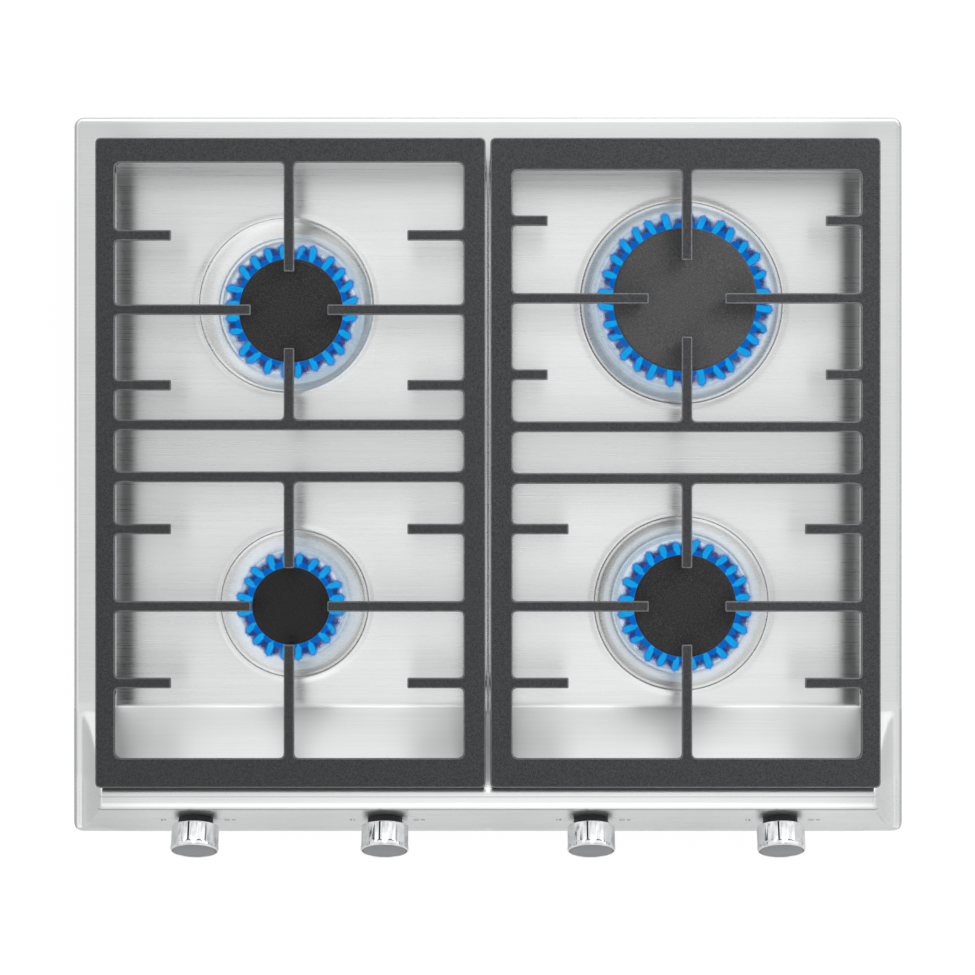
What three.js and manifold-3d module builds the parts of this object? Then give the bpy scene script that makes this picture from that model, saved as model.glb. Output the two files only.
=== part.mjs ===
// A 60 cm built-in gas cooktop with a raised wedge console, two cast grates and four burners.
// Millimetres, +Z up. Inside the assembly group z = 0 is the worktop, and x = y = 0 the plate's middle.
import * as THREE from "three";
import { mergeVertices } from "three/addons/utils/BufferGeometryUtils.js";
import Module from "manifold-3d";

const wasm = await Module();
wasm.setup();

// ---------- driving dimensions ----------

const GAP = 0.3; // between pieces that touch on the real object
const SEAT = 0.1; // under a piece that rests on a level face

// The pressed top plate.
const PLATE = { halfX: 295.8, halfY: 255, corner: 7, rim: 5, edge: 4, sheet: 0.8, hem: 0.3 };
const TRAY = { inner: 4.5, outer: 266.4, back: 228, front: -215, corner: 10, floor: 1, wall: 3 };
const RIDGE = 48; // the console's height above the worktop
const SLOPE = { foot: -165, head: -221.3 }; // where the console's rear face starts and ends, in y
const PANEL_HEAD = -233.2; // y of the front panel's upper edge; its foot is the plate's front edge
const CHEEK = { foot: 4.3, ridge: 25.5, power: 0.62 }; // how far the cheeks lean in, and their flare
const DISH = { seat: 6.5, ledge: 3.2, room: 0.6 }; // depths of the burner's seat and of the ledge round it
const DISH_SIDES = 24;
const UNDERSIDE = { halfX: 272, halfY: 236, corner: 8 }; // the sheet hangs below its hem only within this

// The box under the plate, for a 560 x 480 mm cut-out.
const BOX = { halfX: 265, halfY: 225, deep: 46, corner: 6, sheet: 1, flange: 10 };
const VENT = { count: 7, pitch: 30, long: 18, high: 5, z: -18 };
const SEAL = { outerX: 289, outerY: 249, wide: 7.5, high: 3.9, corner: 6 };

// The burners: x, y, cap radius, the dish's outer and inner radius, the plate's hole, flame ports.
const BURNERS = {
  rear_left: { x: -138.2, y: 114.9, cap: 36.5, dish: 62, ring: 50, hole: 26, ports: 24 },
  front_left: { x: -138.2, y: -92.3, cap: 27.3, dish: 52.5, ring: 39, hole: 22, ports: 20 },
  rear_right: { x: 138.2, y: 122.6, cap: 50.5, dish: 72, ring: 62, hole: 26, ports: 30 },
  front_right: { x: 138.2, y: -92.3, cap: 36, dish: 62, ring: 50, hole: 26, ports: 24 },
};
const CUP = { bottom: -36, inner: -32, wall: 3, flange: 3.2, lip: 3, inletZ: -28, inletR: 5 };
const HEAD = { bottom: -2, top: 34, neck: 9, crown: 6, bore: 10, throat: 13, floor: 18 };
const PORT = { wide: 2.6, sill: 26 };
const CAP = { skirt: 31, under: 34.1, top: 42, edge: 1.8 };
const PROBE = { inset: 3.2, hole: 2.9, plateHole: 3.8 }; // both probes stand under the cap's overhang
const ELECTRODE_ANGLE = 135;
const THERMOCOUPLE_ANGLE = -45;

// The cast grates: u is the distance from the cooktop's middle line, towards either side.
const GRATE = { inner: 1.6, outer: 272.8, back: 233.8, front: -217.8, top: 57, thick: 12 };
const CASTING = { edge: 1.2, draft: 1.3 }; // how far the bars are drawn in at the top and at the bottom
const GRATE_CORNER = 4;
const BAR = { inner: 15.4, outer: 13.7, front: 20.8, cross: 7.6, finger: 7.4 };
const BACK_BAR = { left: 17.4, right: 22.7 };
const CROSS_BARS = { left: [34.3, -1.8], right: [33, -2.9] };
const FINGERS = { u: 138.2, left: [114.3, -91.7], right: [122.2, -91.7] }; // where they cross the burners
const FINGER_REACH = 26.5; // from the burner's middle to a finger's tip
const STUB_LONG = 39;
const STUBS = {
  left: { rear: [166, 61.9], front: [-38, -144.9], rearLong: STUB_LONG, frontLong: STUB_LONG },
  right: { rear: [176.1, 69.2], front: [-38, -144.9], rearLong: 24.5, frontLong: STUB_LONG },
};
const ROOT_FILLET = 1.5;
const TIP_ROUND = 1.1;
const WINDOW_CORNER = 5;
const LEG = { rearY: 214, frontY: -150, outerU: 271.4, innerU: 10.5, footR: 3.8, footHigh: 3.4 };
const LEG_WIDE = 9;

// The taps, in the front panel's own frame: +z out of the panel, +y up it.
const TAPS = { front_left: -206.4, rear_left: -72.7, rear_right: 72.7, front_right: 206.4 };
const KNOB = { radius: 16.8, back: 5.3, front: 22.9, recess: 14.6, recessTop: 10.8, facets: 14, collar: 19.4 };
const KNOB_FACE = { disc: 15.5, groove: 16.2, deep: 0.6 };
const STEM = { radius: 4, end: -18, flat: 2.8, flatTop: -8, hole: 5 };
const KNOB_SEAL = { radius: 14, waist: 11.9, inner: 4.7, top: 4.8 };
const VALVE = { radius: 10, front: -6, back: -47, neck: 4.6, bore: 6.4, boreTop: -13.5, boreEnd: -42 };
const PLUG = { radius: 6, top: -14, bottom: -41.5, socket: 4.4, socketEnd: -25 };
const OUTLET = { radius: 4, end: -54 };
const MANIFOLD = { radius: 6, y: -17, z: -40, left: -228, right: 250, low: -22, rear: 238 };
const SADDLE = { wide: 14, long: 14 };
const INLET = { radius: 10.5, bore: 7.5, start: 229, hex: 14, depth: 12 };
const TUBE_RADIUS = 3;
const TUBE_END = 32.5; // from the burner's middle to the tube's end, at the cup's inlet

const SPARK_BOX = { x: 0, y: 150, wide: 62, deep: 44, high: 24, post: 3.2, postHigh: 7, posts: 4 };
const GLAND = { x: -205, z: -26, radius: 9, flange: 12, hole: 7.5, nose: 12 };
const CLAMP = { x: 273, y: 150, screw: 2.2, top: -6, tongueTop: -38, thick: 3, wide: 10, reach: 36 };
const LUG = { z: -12, thick: 2, wide: 16, reach: 279, hole: 2.6 };

// ---------- helpers ----------

const degrees = THREE.MathUtils.degToRad;

function material(color, roughness, metalness) {
  return new THREE.MeshStandardMaterial({ color, roughness, metalness });
}

const FINISH = {
  steel: material(0xc4c8ca, 0.32, 1),
  galvanised: material(0xa3a7aa, 0.5, 1),
  iron: material(0x3e4042, 0.75, 0.2),
  enamel: material(0x26282c, 0.55, 0.1),
  aluminium: material(0xb9bbbd, 0.45, 1),
  brass: material(0xb08d4a, 0.35, 1),
  chrome: material(0xdfe2e4, 0.12, 1),
  rubber: material(0x1c1c1d, 0.85, 0),
  ceramic: material(0xe9e6dd, 0.4, 0),
  plastic: material(0xd8d6cf, 0.6, 0),
};

// A manifold-3d solid of a closed three.js geometry.
function solid(geometry) {
  const bare = new THREE.BufferGeometry();
  const flat = geometry.index ? geometry.toNonIndexed() : geometry;
  bare.setAttribute("position", flat.getAttribute("position"));
  const merged = mergeVertices(bare, 1e-4);
  return new wasm.Manifold(
    new wasm.Mesh({
      numProp: 3,
      vertProperties: merged.attributes.position.array,
      triVerts: new Uint32Array(merged.index.array),
    }),
  );
}

function geometryOf(body) {
  const mesh = body.getMesh();
  const geometry = new THREE.BufferGeometry();
  geometry.setAttribute("position", new THREE.BufferAttribute(mesh.vertProperties, 3));
  geometry.setIndex(new THREE.BufferAttribute(mesh.triVerts, 1));
  return geometry;
}

function piece(name, geometry, finish) {
  const mesh = new THREE.Mesh(geometry, finish);
  mesh.name = name;
  return mesh;
}

function join(first, ...others) {
  return others.reduce((sum, other) => sum.add(other), first);
}

function cut(first, ...others) {
  return others.reduce((left, other) => left.subtract(other), first);
}

function box(x0, x1, y0, y1, z0, z1) {
  const geometry = new THREE.BoxGeometry(x1 - x0, y1 - y0, z1 - z0);
  return solid(geometry.translate((x0 + x1) / 2, (y0 + y1) / 2, (z0 + z1) / 2));
}

// An upright cylinder between two heights.
function post(radius, z0, z1, x = 0, y = 0, sides = 16) {
  const geometry = new THREE.CylinderGeometry(radius, radius, z1 - z0, sides);
  return solid(geometry.rotateX(Math.PI / 2).translate(x, y, (z0 + z1) / 2));
}

// A cylinder along y between two places.
function rod(radius, y0, y1, x, z, sides = 16) {
  const geometry = new THREE.CylinderGeometry(radius, radius, y1 - y0, sides);
  return solid(geometry.translate(x, (y0 + y1) / 2, z));
}

// A solid of revolution about z. The outline's [radius, height] points run anticlockwise.
function turned(outline, sides, x = 0, y = 0) {
  const points = outline.map(([r, z]) => new THREE.Vector2(r, z));
  const geometry = new THREE.LatheGeometry(points, sides);
  return solid(geometry.rotateX(Math.PI / 2).translate(x, y, 0));
}

// A path through corners [x, y, round], where round is how far before the corner its curve starts.
function roundedPath(path, corners) {
  corners.forEach(([x, y, round], i) => {
    const corner = new THREE.Vector2(x, y);
    const before = new THREE.Vector2(...corners.at(i - 1).slice(0, 2)).sub(corner).setLength(round);
    const next = corners[(i + 1) % corners.length];
    const after = new THREE.Vector2(...next.slice(0, 2)).sub(corner).setLength(round);
    before.add(corner);
    after.add(corner);
    if (i) path.lineTo(before.x, before.y);
    else path.moveTo(before.x, before.y);
    path.quadraticCurveTo(x, y, after.x, after.y);
  });
  path.closePath();
  return path;
}

function rectangle(x0, x1, y0, y1, round) {
  return [
    [x0, y0, round],
    [x1, y0, round],
    [x1, y1, round],
    [x0, y1, round],
  ];
}

// A plate of a shape between two heights.
function slab(shape, z0, z1, curveSegments = 3) {
  const geometry = new THREE.ExtrudeGeometry(shape, { depth: z1 - z0, bevelEnabled: false, curveSegments });
  return solid(geometry.translate(0, 0, z0));
}

// As slab, with both ends drawn in by inset over the height run.
function bevelledSlab(shape, z0, z1, inset, run, bevelSegments, curveSegments) {
  const geometry = new THREE.ExtrudeGeometry(shape, {
    depth: z1 - z0 - 2 * run,
    bevelThickness: run,
    bevelSize: inset,
    bevelOffset: -inset,
    bevelSegments,
    curveSegments,
  });
  return solid(geometry.translate(0, 0, z0 + run));
}

// A round tube of radius along points, with rounded turns.
function tube(points, radius, steps, sides) {
  const ring = new THREE.Shape();
  ring.absarc(0, 0, radius, 0, 2 * Math.PI);
  const route = new THREE.CatmullRomCurve3(points.map((p) => new THREE.Vector3(...p)));
  return new THREE.ExtrudeGeometry(ring, { extrudePath: route, steps, curveSegments: sides / 2 });
}

// A closed loft through rings with the same number of points, lowest ring first.
function loft(rings) {
  const count = rings[0].length;
  const positions = rings.flat(2);
  const faces = [];
  for (let level = 0; level + 1 < rings.length; level += 1) {
    for (let i = 0; i < count; i += 1) {
      const a = level * count + i;
      const b = level * count + ((i + 1) % count);
      faces.push(a, b, b + count, a, b + count, a + count);
    }
  }
  const last = (rings.length - 1) * count;
  for (let i = 1; i + 1 < count; i += 1) {
    faces.push(0, i + 1, i);
    faces.push(last, last + i, last + i + 1);
  }
  const geometry = new THREE.BufferGeometry();
  geometry.setAttribute("position", new THREE.Float32BufferAttribute(positions, 3));
  geometry.setIndex(faces);
  return solid(geometry);
}

// ---------- the pressed top plate ----------

const PANEL_RUN = PLATE.halfY + PANEL_HEAD; // how far the front panel leans back over its height
const PANEL_TILT = Math.atan2(RIDGE, PANEL_RUN); // from level
const SLOPE_RUN = SLOPE.foot - SLOPE.head;
const PANEL_MIDDLE = { y: (PANEL_HEAD - PLATE.halfY) / 2, z: RIDGE / 2 };

// The middle of a place on a panel tap's axis, in the assembly's frame.
function fromPanel(x, y, z) {
  const place = new THREE.Vector3(0, y, z).applyAxisAngle(new THREE.Vector3(1, 0, 0), PANEL_TILT);
  return [x, PANEL_MIDDLE.y + place.y, PANEL_MIDDLE.z + place.z];
}

// One level ring of the console, drawn in on every side by inset, and by its bends' own share.
function consoleRing(z, inset, rearBend, frontBend) {
  const height = Math.max(z - PLATE.rim, 0) / (RIDGE - PLATE.rim);
  const lean = CHEEK.foot + (CHEEK.ridge - CHEEK.foot) * height ** CHEEK.power;
  const halfX = PLATE.halfX - lean - inset - rearBend;
  const above = Math.max(z, TRAY.floor) - TRAY.floor;
  const rear = SLOPE.foot - (SLOPE_RUN * above) / (RIDGE - TRAY.floor) - inset - rearBend;
  const front = -PLATE.halfY + (PANEL_RUN * Math.max(z, 0)) / RIDGE + inset + frontBend;
  const path = roundedPath(new THREE.Shape(), [
    [-halfX, front, 7],
    [halfX, front, 7],
    [halfX, rear, 2],
    [-halfX, rear, 2],
  ]);
  return path.getPoints(2).slice(0, -1).map((p) => [p.x, p.y, z - inset]);
}

const CONSOLE_LEVELS = [-20, PLATE.rim, 7, 10, 15, 23, 34, RIDGE - 4];
// The 7 mm bends along the ridge: height, and how far they draw in the rear and the front face.
const RIDGE_BENDS = [
  [RIDGE - 2.4, 0, 0.4],
  [RIDGE - 1.4, 0, 1],
  [RIDGE - 0.6, 0.6, 2],
  [RIDGE, 2.7, 4.6],
];

function consoleForm(inset, bottom) {
  const rings = CONSOLE_LEVELS.map((z) => consoleRing(z, inset, 0, 0));
  rings.push(...RIDGE_BENDS.map(([z, rear, front]) => consoleRing(z, inset, rear, front)));
  rings[0].forEach((point) => {
    point[2] = bottom;
  });
  return loft(rings);
}

function dishForm({ x, y, dish, ring }, inset) {
  const seat = TRAY.floor - DISH.seat - inset;
  const ledge = TRAY.floor - DISH.ledge - inset;
  const well = ring - CUP.lip + DISH.room + inset;
  const outline = [
    [0, seat],
    [well, seat],
    [well + 0.4, ledge],
    [ring + inset / 2, ledge],
    [dish + inset, TRAY.floor - inset],
    [dish + inset, PLATE.rim + 5],
    [0, PLATE.rim + 5],
  ];
  return turned(outline, DISH_SIDES, x, y);
}

function trayForm(side, inset) {
  const inner = side * (TRAY.inner - inset);
  const outer = side * (TRAY.outer + inset);
  const grown = TRAY.wall;
  const low = Math.min(inner, outer) - grown;
  const high = Math.max(inner, outer) + grown;
  const corners = rectangle(low, high, TRAY.front, TRAY.back + inset + grown, TRAY.corner);
  const shape = roundedPath(new THREE.Shape(), corners);
  return bevelledSlab(shape, TRAY.floor - inset, RIDGE, grown, PLATE.rim - TRAY.floor, 1, 2);
}

// The solid under the plate's face, drawn in by inset: the sheet is what lies between two of them.
function pressedForm(inset, bottom) {
  const halfX = PLATE.halfX - inset;
  const halfY = PLATE.halfY - inset;
  const shape = roundedPath(new THREE.Shape(), rectangle(-halfX, halfX, -halfY, halfY, PLATE.corner));
  const round = PLATE.edge - inset;
  const block = bevelledSlab(shape, bottom - round, PLATE.rim - inset, round, round, 2, 2);
  const dishes = Object.values(BURNERS).map((burner) => dishForm(burner, inset));
  const hollowed = cut(block, trayForm(-1, inset), trayForm(1, inset), ...dishes);
  return hollowed.add(consoleForm(inset, bottom));
}

function probePlace({ cap }, angle) {
  const reach = cap - PROBE.inset;
  return [reach * Math.cos(degrees(angle)), reach * Math.sin(degrees(angle))];
}

function probeHoles(burner, radius, z0, z1) {
  return [ELECTRODE_ANGLE, THERMOCOUPLE_ANGLE].map((angle) => {
    const [dx, dy] = probePlace(burner, angle);
    return post(radius, z0, z1, burner.x + dx, burner.y + dy, 6);
  });
}

function tapHole(x) {
  const geometry = new THREE.CylinderGeometry(STEM.hole, STEM.hole, 12, 12);
  geometry.rotateX(Math.PI / 2 + PANEL_TILT);
  return solid(geometry.translate(...fromPanel(x, 0, 0)));
}

function topPlate() {
  const far = PLATE.halfX + 10;
  const { halfX, halfY, corner } = UNDERSIDE;
  const trim = roundedPath(new THREE.Shape(), rectangle(-far, far, -far, far, 1));
  trim.holes.push(roundedPath(new THREE.Path(), rectangle(-halfX, halfX, -halfY, halfY, corner)));
  const below = slab(trim, -60, PLATE.hem);
  const holes = Object.values(BURNERS).flatMap((burner) => [
    post(burner.hole, -20, 0, burner.x, burner.y, 24),
    ...probeHoles(burner, PROBE.plateHole, -20, 0),
  ]);
  const sheet = pressedForm(0, -15).subtract(pressedForm(PLATE.sheet, -25));
  const plate = cut(sheet, below, ...holes, ...Object.values(TAPS).map(tapHole));
  return piece("top_plate", geometryOf(plate), FINISH.steel);
}

// ---------- the box below, the seal and the clamps ----------

function clampPlaces() {
  return [-1, 1].flatMap((side) => [1, -1].map((end) => ({ side, end })));
}

function lug({ side, end }) {
  const y = end * CLAMP.y;
  const [x0, x1] = side < 0 ? [-LUG.reach, -BOX.halfX + 0.5] : [BOX.halfX - 0.5, LUG.reach];
  const plate = box(x0, x1, y - LUG.wide / 2, y + LUG.wide / 2, LUG.z, LUG.z + LUG.thick);
  return plate.subtract(post(LUG.hole, LUG.z - 1, LUG.z + LUG.thick + 1, side * CLAMP.x, y, 12));
}

function bottomBox() {
  const { halfX, halfY, deep, corner, sheet, flange } = BOX;
  const top = TRAY.floor - PLATE.sheet - SEAT - 0.3;
  const outer = roundedPath(new THREE.Shape(), rectangle(-halfX, halfX, -halfY, halfY, corner));
  const x = halfX - sheet;
  const y = halfY - sheet;
  const inner = roundedPath(new THREE.Shape(), rectangle(-x, x, -y, y, corner - sheet));
  const mouth = roundedPath(
    new THREE.Shape(),
    rectangle(-x + flange, x - flange, -y, y - flange, corner - sheet),
  );
  const room = slab(inner, -deep + sheet, top - sheet);
  const vents = Array.from({ length: VENT.count }, (_, i) => {
    const middle = (i - (VENT.count - 1) / 2) * VENT.pitch;
    const [z0, z1] = [VENT.z - VENT.high / 2, VENT.z + VENT.high / 2];
    return box(middle - VENT.long / 2, middle + VENT.long / 2, halfY - 3, halfY + 3, z0, z1);
  });
  const gland = rod(GLAND.hole + 2 * GAP, halfY - 3, halfY + 3, GLAND.x, GLAND.z, 12);
  const inlet = rod(INLET.radius + 3 * GAP, halfY - 3, halfY + 3, MANIFOLD.right, MANIFOLD.low, 12);
  const shell = cut(slab(outer, -deep, top), room, slab(mouth, -deep + sheet, top + 1), ...vents);
  const pierced = cut(shell, gland, inlet);
  return piece("bottom_box", geometryOf(join(pierced, ...clampPlaces().map(lug))), FINISH.galvanised);
}

function worktopSeal() {
  const { outerX, outerY, wide, high, corner } = SEAL;
  const shape = roundedPath(new THREE.Shape(), rectangle(-outerX, outerX, -outerY, outerY, corner));
  const [x, y] = [outerX - wide, outerY - wide];
  shape.holes.push(roundedPath(new THREE.Path(), rectangle(-x, x, -y, y, corner / 2)));
  return piece("worktop_seal", geometryOf(slab(shape, 0, high)), FINISH.rubber);
}

// A hook on a long upright screw; it lies along the box until it is turned out under the worktop.
function worktopClamp({ side, end }) {
  const { screw, top, tongueTop, thick, wide, reach } = CLAMP;
  const half = wide / 2;
  const tongue = new THREE.Shape();
  tongue.moveTo(-half, 0);
  tongue.lineTo(-half, -end * (reach - half));
  tongue.quadraticCurveTo(-half, -end * reach, 0, -end * reach);
  tongue.quadraticCurveTo(half, -end * reach, half, -end * (reach - half));
  tongue.lineTo(half, 0);
  tongue.quadraticCurveTo(half, end * half, 0, end * half);
  tongue.quadraticCurveTo(-half, end * half, -half, 0);
  const hook = slab(tongue, tongueTop - thick, tongueTop, 2);
  const shaft = post(screw, tongueTop - thick - 2, top - 2.5, 0, 0, 8);
  const screwHead = post(screw * 2, top - 3, top, 0, 0, 6);
  const tip = post(half - 1, tongueTop - 0.5, tongueTop + 4, 0, -end * (reach - half - 1), 6);
  const names = [side < 0 ? "left" : "right", end < 0 ? "front" : "rear"];
  const geometry = geometryOf(join(hook, shaft, screwHead, tip));
  const clamp = piece(`worktop_clamp_${names[1]}_${names[0]}`, geometry, FINISH.galvanised);
  clamp.position.set(side * CLAMP.x, end * CLAMP.y, 0);
  return clamp;
}

// ---------- the burners ----------

function burnerCup(name, burner) {
  const { hole, ring } = burner;
  const floor = TRAY.floor - DISH.seat + SEAT;
  const rim = ring - CUP.lip;
  const body = hole - 1;
  const outline = [
    [0, CUP.bottom],
    [body, CUP.bottom],
    [body, floor],
    [rim, floor],
    [rim - 1.5, floor + CUP.flange],
    [body - CUP.wall, floor + CUP.flange],
    [body - CUP.wall, CUP.inner],
    [5, CUP.inner],
    [3.5, CUP.inner + 9],
    [0, CUP.inner + 9],
  ];
  const inlet = rod(CUP.inletR, -TUBE_END + GAP, -body + CUP.wall - 0.5, 0, CUP.inletZ, 8);
  const centred = { ...burner, x: 0, y: 0 };
  const cup = cut(turned(outline, 16).add(inlet), ...probeHoles(centred, PROBE.hole, -20, 0));
  return piece(`burner_cup_${name}`, geometryOf(cup), FINISH.aluminium);
}

// The flame spreader: a crown whose slots, closed above by the cap, are the flame ports.
function burnerHead(name, { cap, ports }) {
  const outline = [
    [HEAD.throat - 2, HEAD.bottom],
    [cap - HEAD.neck, HEAD.bottom],
    [cap - HEAD.crown, HEAD.floor + 3],
    [cap - HEAD.crown, HEAD.top],
    [cap - HEAD.bore, HEAD.top],
    [cap - HEAD.bore - 1, HEAD.floor],
    [HEAD.throat - 2, HEAD.floor],
    [HEAD.throat - 2, HEAD.bottom],
  ];
  const slots = Array.from({ length: ports }, (_, i) => {
    const geometry = new THREE.BoxGeometry(8, PORT.wide, 10);
    geometry.translate(cap - (HEAD.crown + HEAD.bore) / 2, 0, PORT.sill + 5);
    return solid(geometry.rotateZ((2 * Math.PI * (i + 0.5)) / ports));
  });
  const crown = cut(turned(outline, ports), ...slots);
  return piece(`burner_head_${name}`, geometryOf(crown), FINISH.aluminium);
}

function burnerCap(name, { cap }) {
  const outline = [
    [0, CAP.skirt],
    [cap - HEAD.bore - 1.4, CAP.skirt],
    [cap - HEAD.bore - 0.6, CAP.under],
    [cap, CAP.under],
    [cap, CAP.top - 4],
    [cap - CAP.edge, CAP.top - 1.6],
    [cap * 0.62, CAP.top - 0.4],
    [0, CAP.top],
  ];
  return piece(`burner_cap_${name}`, geometryOf(turned(outline, 24)), FINISH.enamel);
}

function sparkElectrode(name, burner) {
  const outline = [
    [0, -20],
    [2, -20],
    [2, -1.9],
    [3.4, -1.9],
    [3.4, 1],
    [2, 2],
    [2, 22],
    [0.9, 22],
    [0.9, 30],
    [0, 30],
  ];
  const electrode = piece(`spark_electrode_${name}`, geometryOf(turned(outline, 6)), FINISH.ceramic);
  electrode.position.set(...probePlace(burner, ELECTRODE_ANGLE), 0);
  return electrode;
}

function thermocouple(name, burner) {
  const outline = [
    [0, -22],
    [2.2, -22],
    [2.2, -1.9],
    [3.6, -1.9],
    [3.6, 1.2],
    [2.2, 1.2],
    [1.6, 16],
    [1.6, 27],
    [0, 29],
  ];
  const probe = piece(`thermocouple_${name}`, geometryOf(turned(outline, 6)), FINISH.brass);
  probe.position.set(...probePlace(burner, THERMOCOUPLE_ANGLE), 0);
  return probe;
}

function burnerGroup(name, burner) {
  const group = new THREE.Group();
  group.position.set(burner.x, burner.y, 0);
  const makers = [burnerCup, burnerHead, burnerCap, sparkElectrode, thermocouple];
  group.add(...makers.map((maker) => maker(name, burner)));
  return group;
}

// ---------- the grates ----------

// One side of a window, from start to end, with teeth standing into it. Each tooth is
// { at, long }: its middle's distance from the start, and its length.
function toothedSide(start, end, teeth) {
  const along = new THREE.Vector2().subVectors(end, start).normalize();
  const inwards = new THREE.Vector2(-along.y, along.x);
  const place = (distance, depth, round) => {
    const p = start.clone().addScaledVector(along, distance).addScaledVector(inwards, depth);
    return [p.x, p.y, round];
  };
  const half = BAR.finger / 2;
  const corners = teeth.flatMap(({ at, long }) => [
    place(at - half, 0, ROOT_FILLET),
    place(at - half, long, TIP_ROUND),
    place(at + half, long, TIP_ROUND),
    place(at + half, 0, ROOT_FILLET),
  ]);
  return [place(0, 0, WINDOW_CORNER), ...corners];
}

// The window over one burner, with its four fingers and four stubs.
function burnerWindow(u0, u1, y0, y1, fingerY, stubs, stubLong) {
  const corners = [
    new THREE.Vector2(u0, y0),
    new THREE.Vector2(u1, y0),
    new THREE.Vector2(u1, y1),
    new THREE.Vector2(u0, y1),
  ];
  const { u } = FINGERS;
  const finger = (edge, middle) => Math.abs(edge - middle) - FINGER_REACH;
  const sideTeeth = (edge) => [
    { at: fingerY, long: finger(edge, u) },
    ...stubs.map((at) => ({ at, long: stubLong })),
  ];
  const ordered = (teeth) => teeth.sort((a, b) => a.at - b.at);
  const up = ordered(sideTeeth(u1).map((t) => ({ ...t, at: t.at - y0 })));
  const down = ordered(sideTeeth(u0).map((t) => ({ ...t, at: y1 - t.at })));
  const points = [
    ...toothedSide(corners[0], corners[1], [{ at: u - u0, long: finger(y0, fingerY) }]),
    ...toothedSide(corners[1], corners[2], up),
    ...toothedSide(corners[2], corners[3], [{ at: u1 - u, long: finger(y1, fingerY) }]),
    ...toothedSide(corners[3], corners[0], down),
  ];
  return roundedPath(new THREE.Path(), points);
}

// A cast leg from under a side bar down to its foot, in the upright plane across the bar.
function grateLeg(barU, footU, y, footTop) {
  const half = LEG_WIDE / 2;
  const top = GRATE.top - GRATE.thick + 1;
  const side = new THREE.Shape();
  side.moveTo(barU - half, top);
  side.lineTo(footU - LEG.footR, footTop);
  side.lineTo(footU + LEG.footR, footTop);
  side.lineTo(barU + half, top);
  const geometry = new THREE.ExtrudeGeometry(side, { depth: LEG_WIDE, bevelEnabled: false });
  return solid(geometry.rotateX(Math.PI / 2).translate(0, y + half, 0));
}

function legPlaces() {
  const outer = { where: "outer", barU: GRATE.outer - 7, footU: LEG.outerU, floor: PLATE.rim };
  const inner = { where: "inner", barU: LEG.innerU, footU: LEG.innerU, floor: TRAY.floor };
  return [outer, inner].flatMap((leg) => [
    { ...leg, end: "rear", y: LEG.rearY },
    { ...leg, end: "front", y: LEG.frontY },
  ]);
}

function grate(side) {
  const { inner, outer, back, front, top, thick } = GRATE;
  const { edge, draft } = CASTING;
  const frame = roundedPath(new THREE.Shape(), rectangle(inner, outer, front, back, GRATE_CORNER));
  const [u0, u1] = [inner + BAR.inner, outer - BAR.outer];
  const half = BAR.cross / 2;
  const stubs = STUBS[side];
  const [crossRear, crossFront] = CROSS_BARS[side];
  const [rearY, frontY] = FINGERS[side];
  const rearEnd = back - BACK_BAR[side];
  const gap = rectangle(u0, u1, crossFront + half, crossRear - half, WINDOW_CORNER);
  frame.holes.push(
    burnerWindow(u0, u1, crossRear + half, rearEnd, rearY, stubs.rear, stubs.rearLong),
    roundedPath(new THREE.Path(), gap),
    burnerWindow(u0, u1, front + BAR.front, crossFront - half, frontY, stubs.front, stubs.frontLong),
  );
  const middle = top - thick / 2;
  const within = (z0, z1) => box(inner - 1, outer + 1, front - 1, back + 1, z0, z1);
  const upper = bevelledSlab(frame, top - 2 * thick, top, edge, edge, 1, 1);
  const lower = bevelledSlab(frame, top - thick, top + thick, draft, thick / 2, 1, 1);
  const bars = join(
    upper.intersect(within(middle, top + 1)),
    lower.intersect(within(top - thick - 1, middle)),
  );
  const legs = legPlaces().map((leg) => {
    return grateLeg(leg.barU, leg.footU, leg.y, leg.floor + SEAT + LEG.footHigh + SEAT);
  });
  const geometry = geometryOf(join(bars, ...legs));
  return piece(`grate_${side}`, side === "left" ? mirrored(geometry) : geometry, FINISH.iron);
}

// The same geometry on the other side of the middle line, with its faces still pointing out.
function mirrored(geometry) {
  geometry.scale(-1, 1, 1);
  const index = geometry.index.array;
  for (let i = 0; i < index.length; i += 3) [index[i], index[i + 1]] = [index[i + 1], index[i]];
  return geometry;
}

function grateFeet(side) {
  const sign = side === "left" ? -1 : 1;
  return legPlaces().map(({ where, end, y, footU, floor }) => {
    const low = floor + SEAT;
    const outline = [
      [0, low],
      [LEG.footR - 0.5, low],
      [LEG.footR, low + LEG.footHigh],
      [0, low + LEG.footHigh],
    ];
    const foot = piece(`grate_foot_${side}_${end}_${where}`, geometryOf(turned(outline, 12)), FINISH.rubber);
    foot.position.set(sign * footU, y, 0);
    return foot;
  });
}

// ---------- the taps ----------

// The chrome knob: a faceted barrel with a round front ring, and its D-shaped stem.
function knob(name) {
  const { radius, back, front, recess, recessTop, facets, collar } = KNOB;
  const { disc, groove, deep } = KNOB_FACE;
  const barrel = [
    [0, recessTop],
    [recess, recessTop],
    [recess, back],
    [radius, back],
    [radius, collar],
    [0, collar],
  ];
  const frontRing = [
    [0, STEM.end],
    [STEM.radius, STEM.end],
    [STEM.radius, collar - 1],
    [radius, collar - 1],
    [radius, front - 1],
    [groove, front],
    [disc + 0.2, front - deep],
    [0, front - deep],
  ];
  const wide = 2 * radius;
  const dFlat = box(-wide, wide, STEM.flat, wide, STEM.end - 1, STEM.flatTop);
  const made = cut(join(turned(barrel, facets), turned(frontRing, 2 * facets)), dFlat);
  return piece(`knob_${name}`, geometryOf(made), FINISH.chrome);
}

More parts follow.
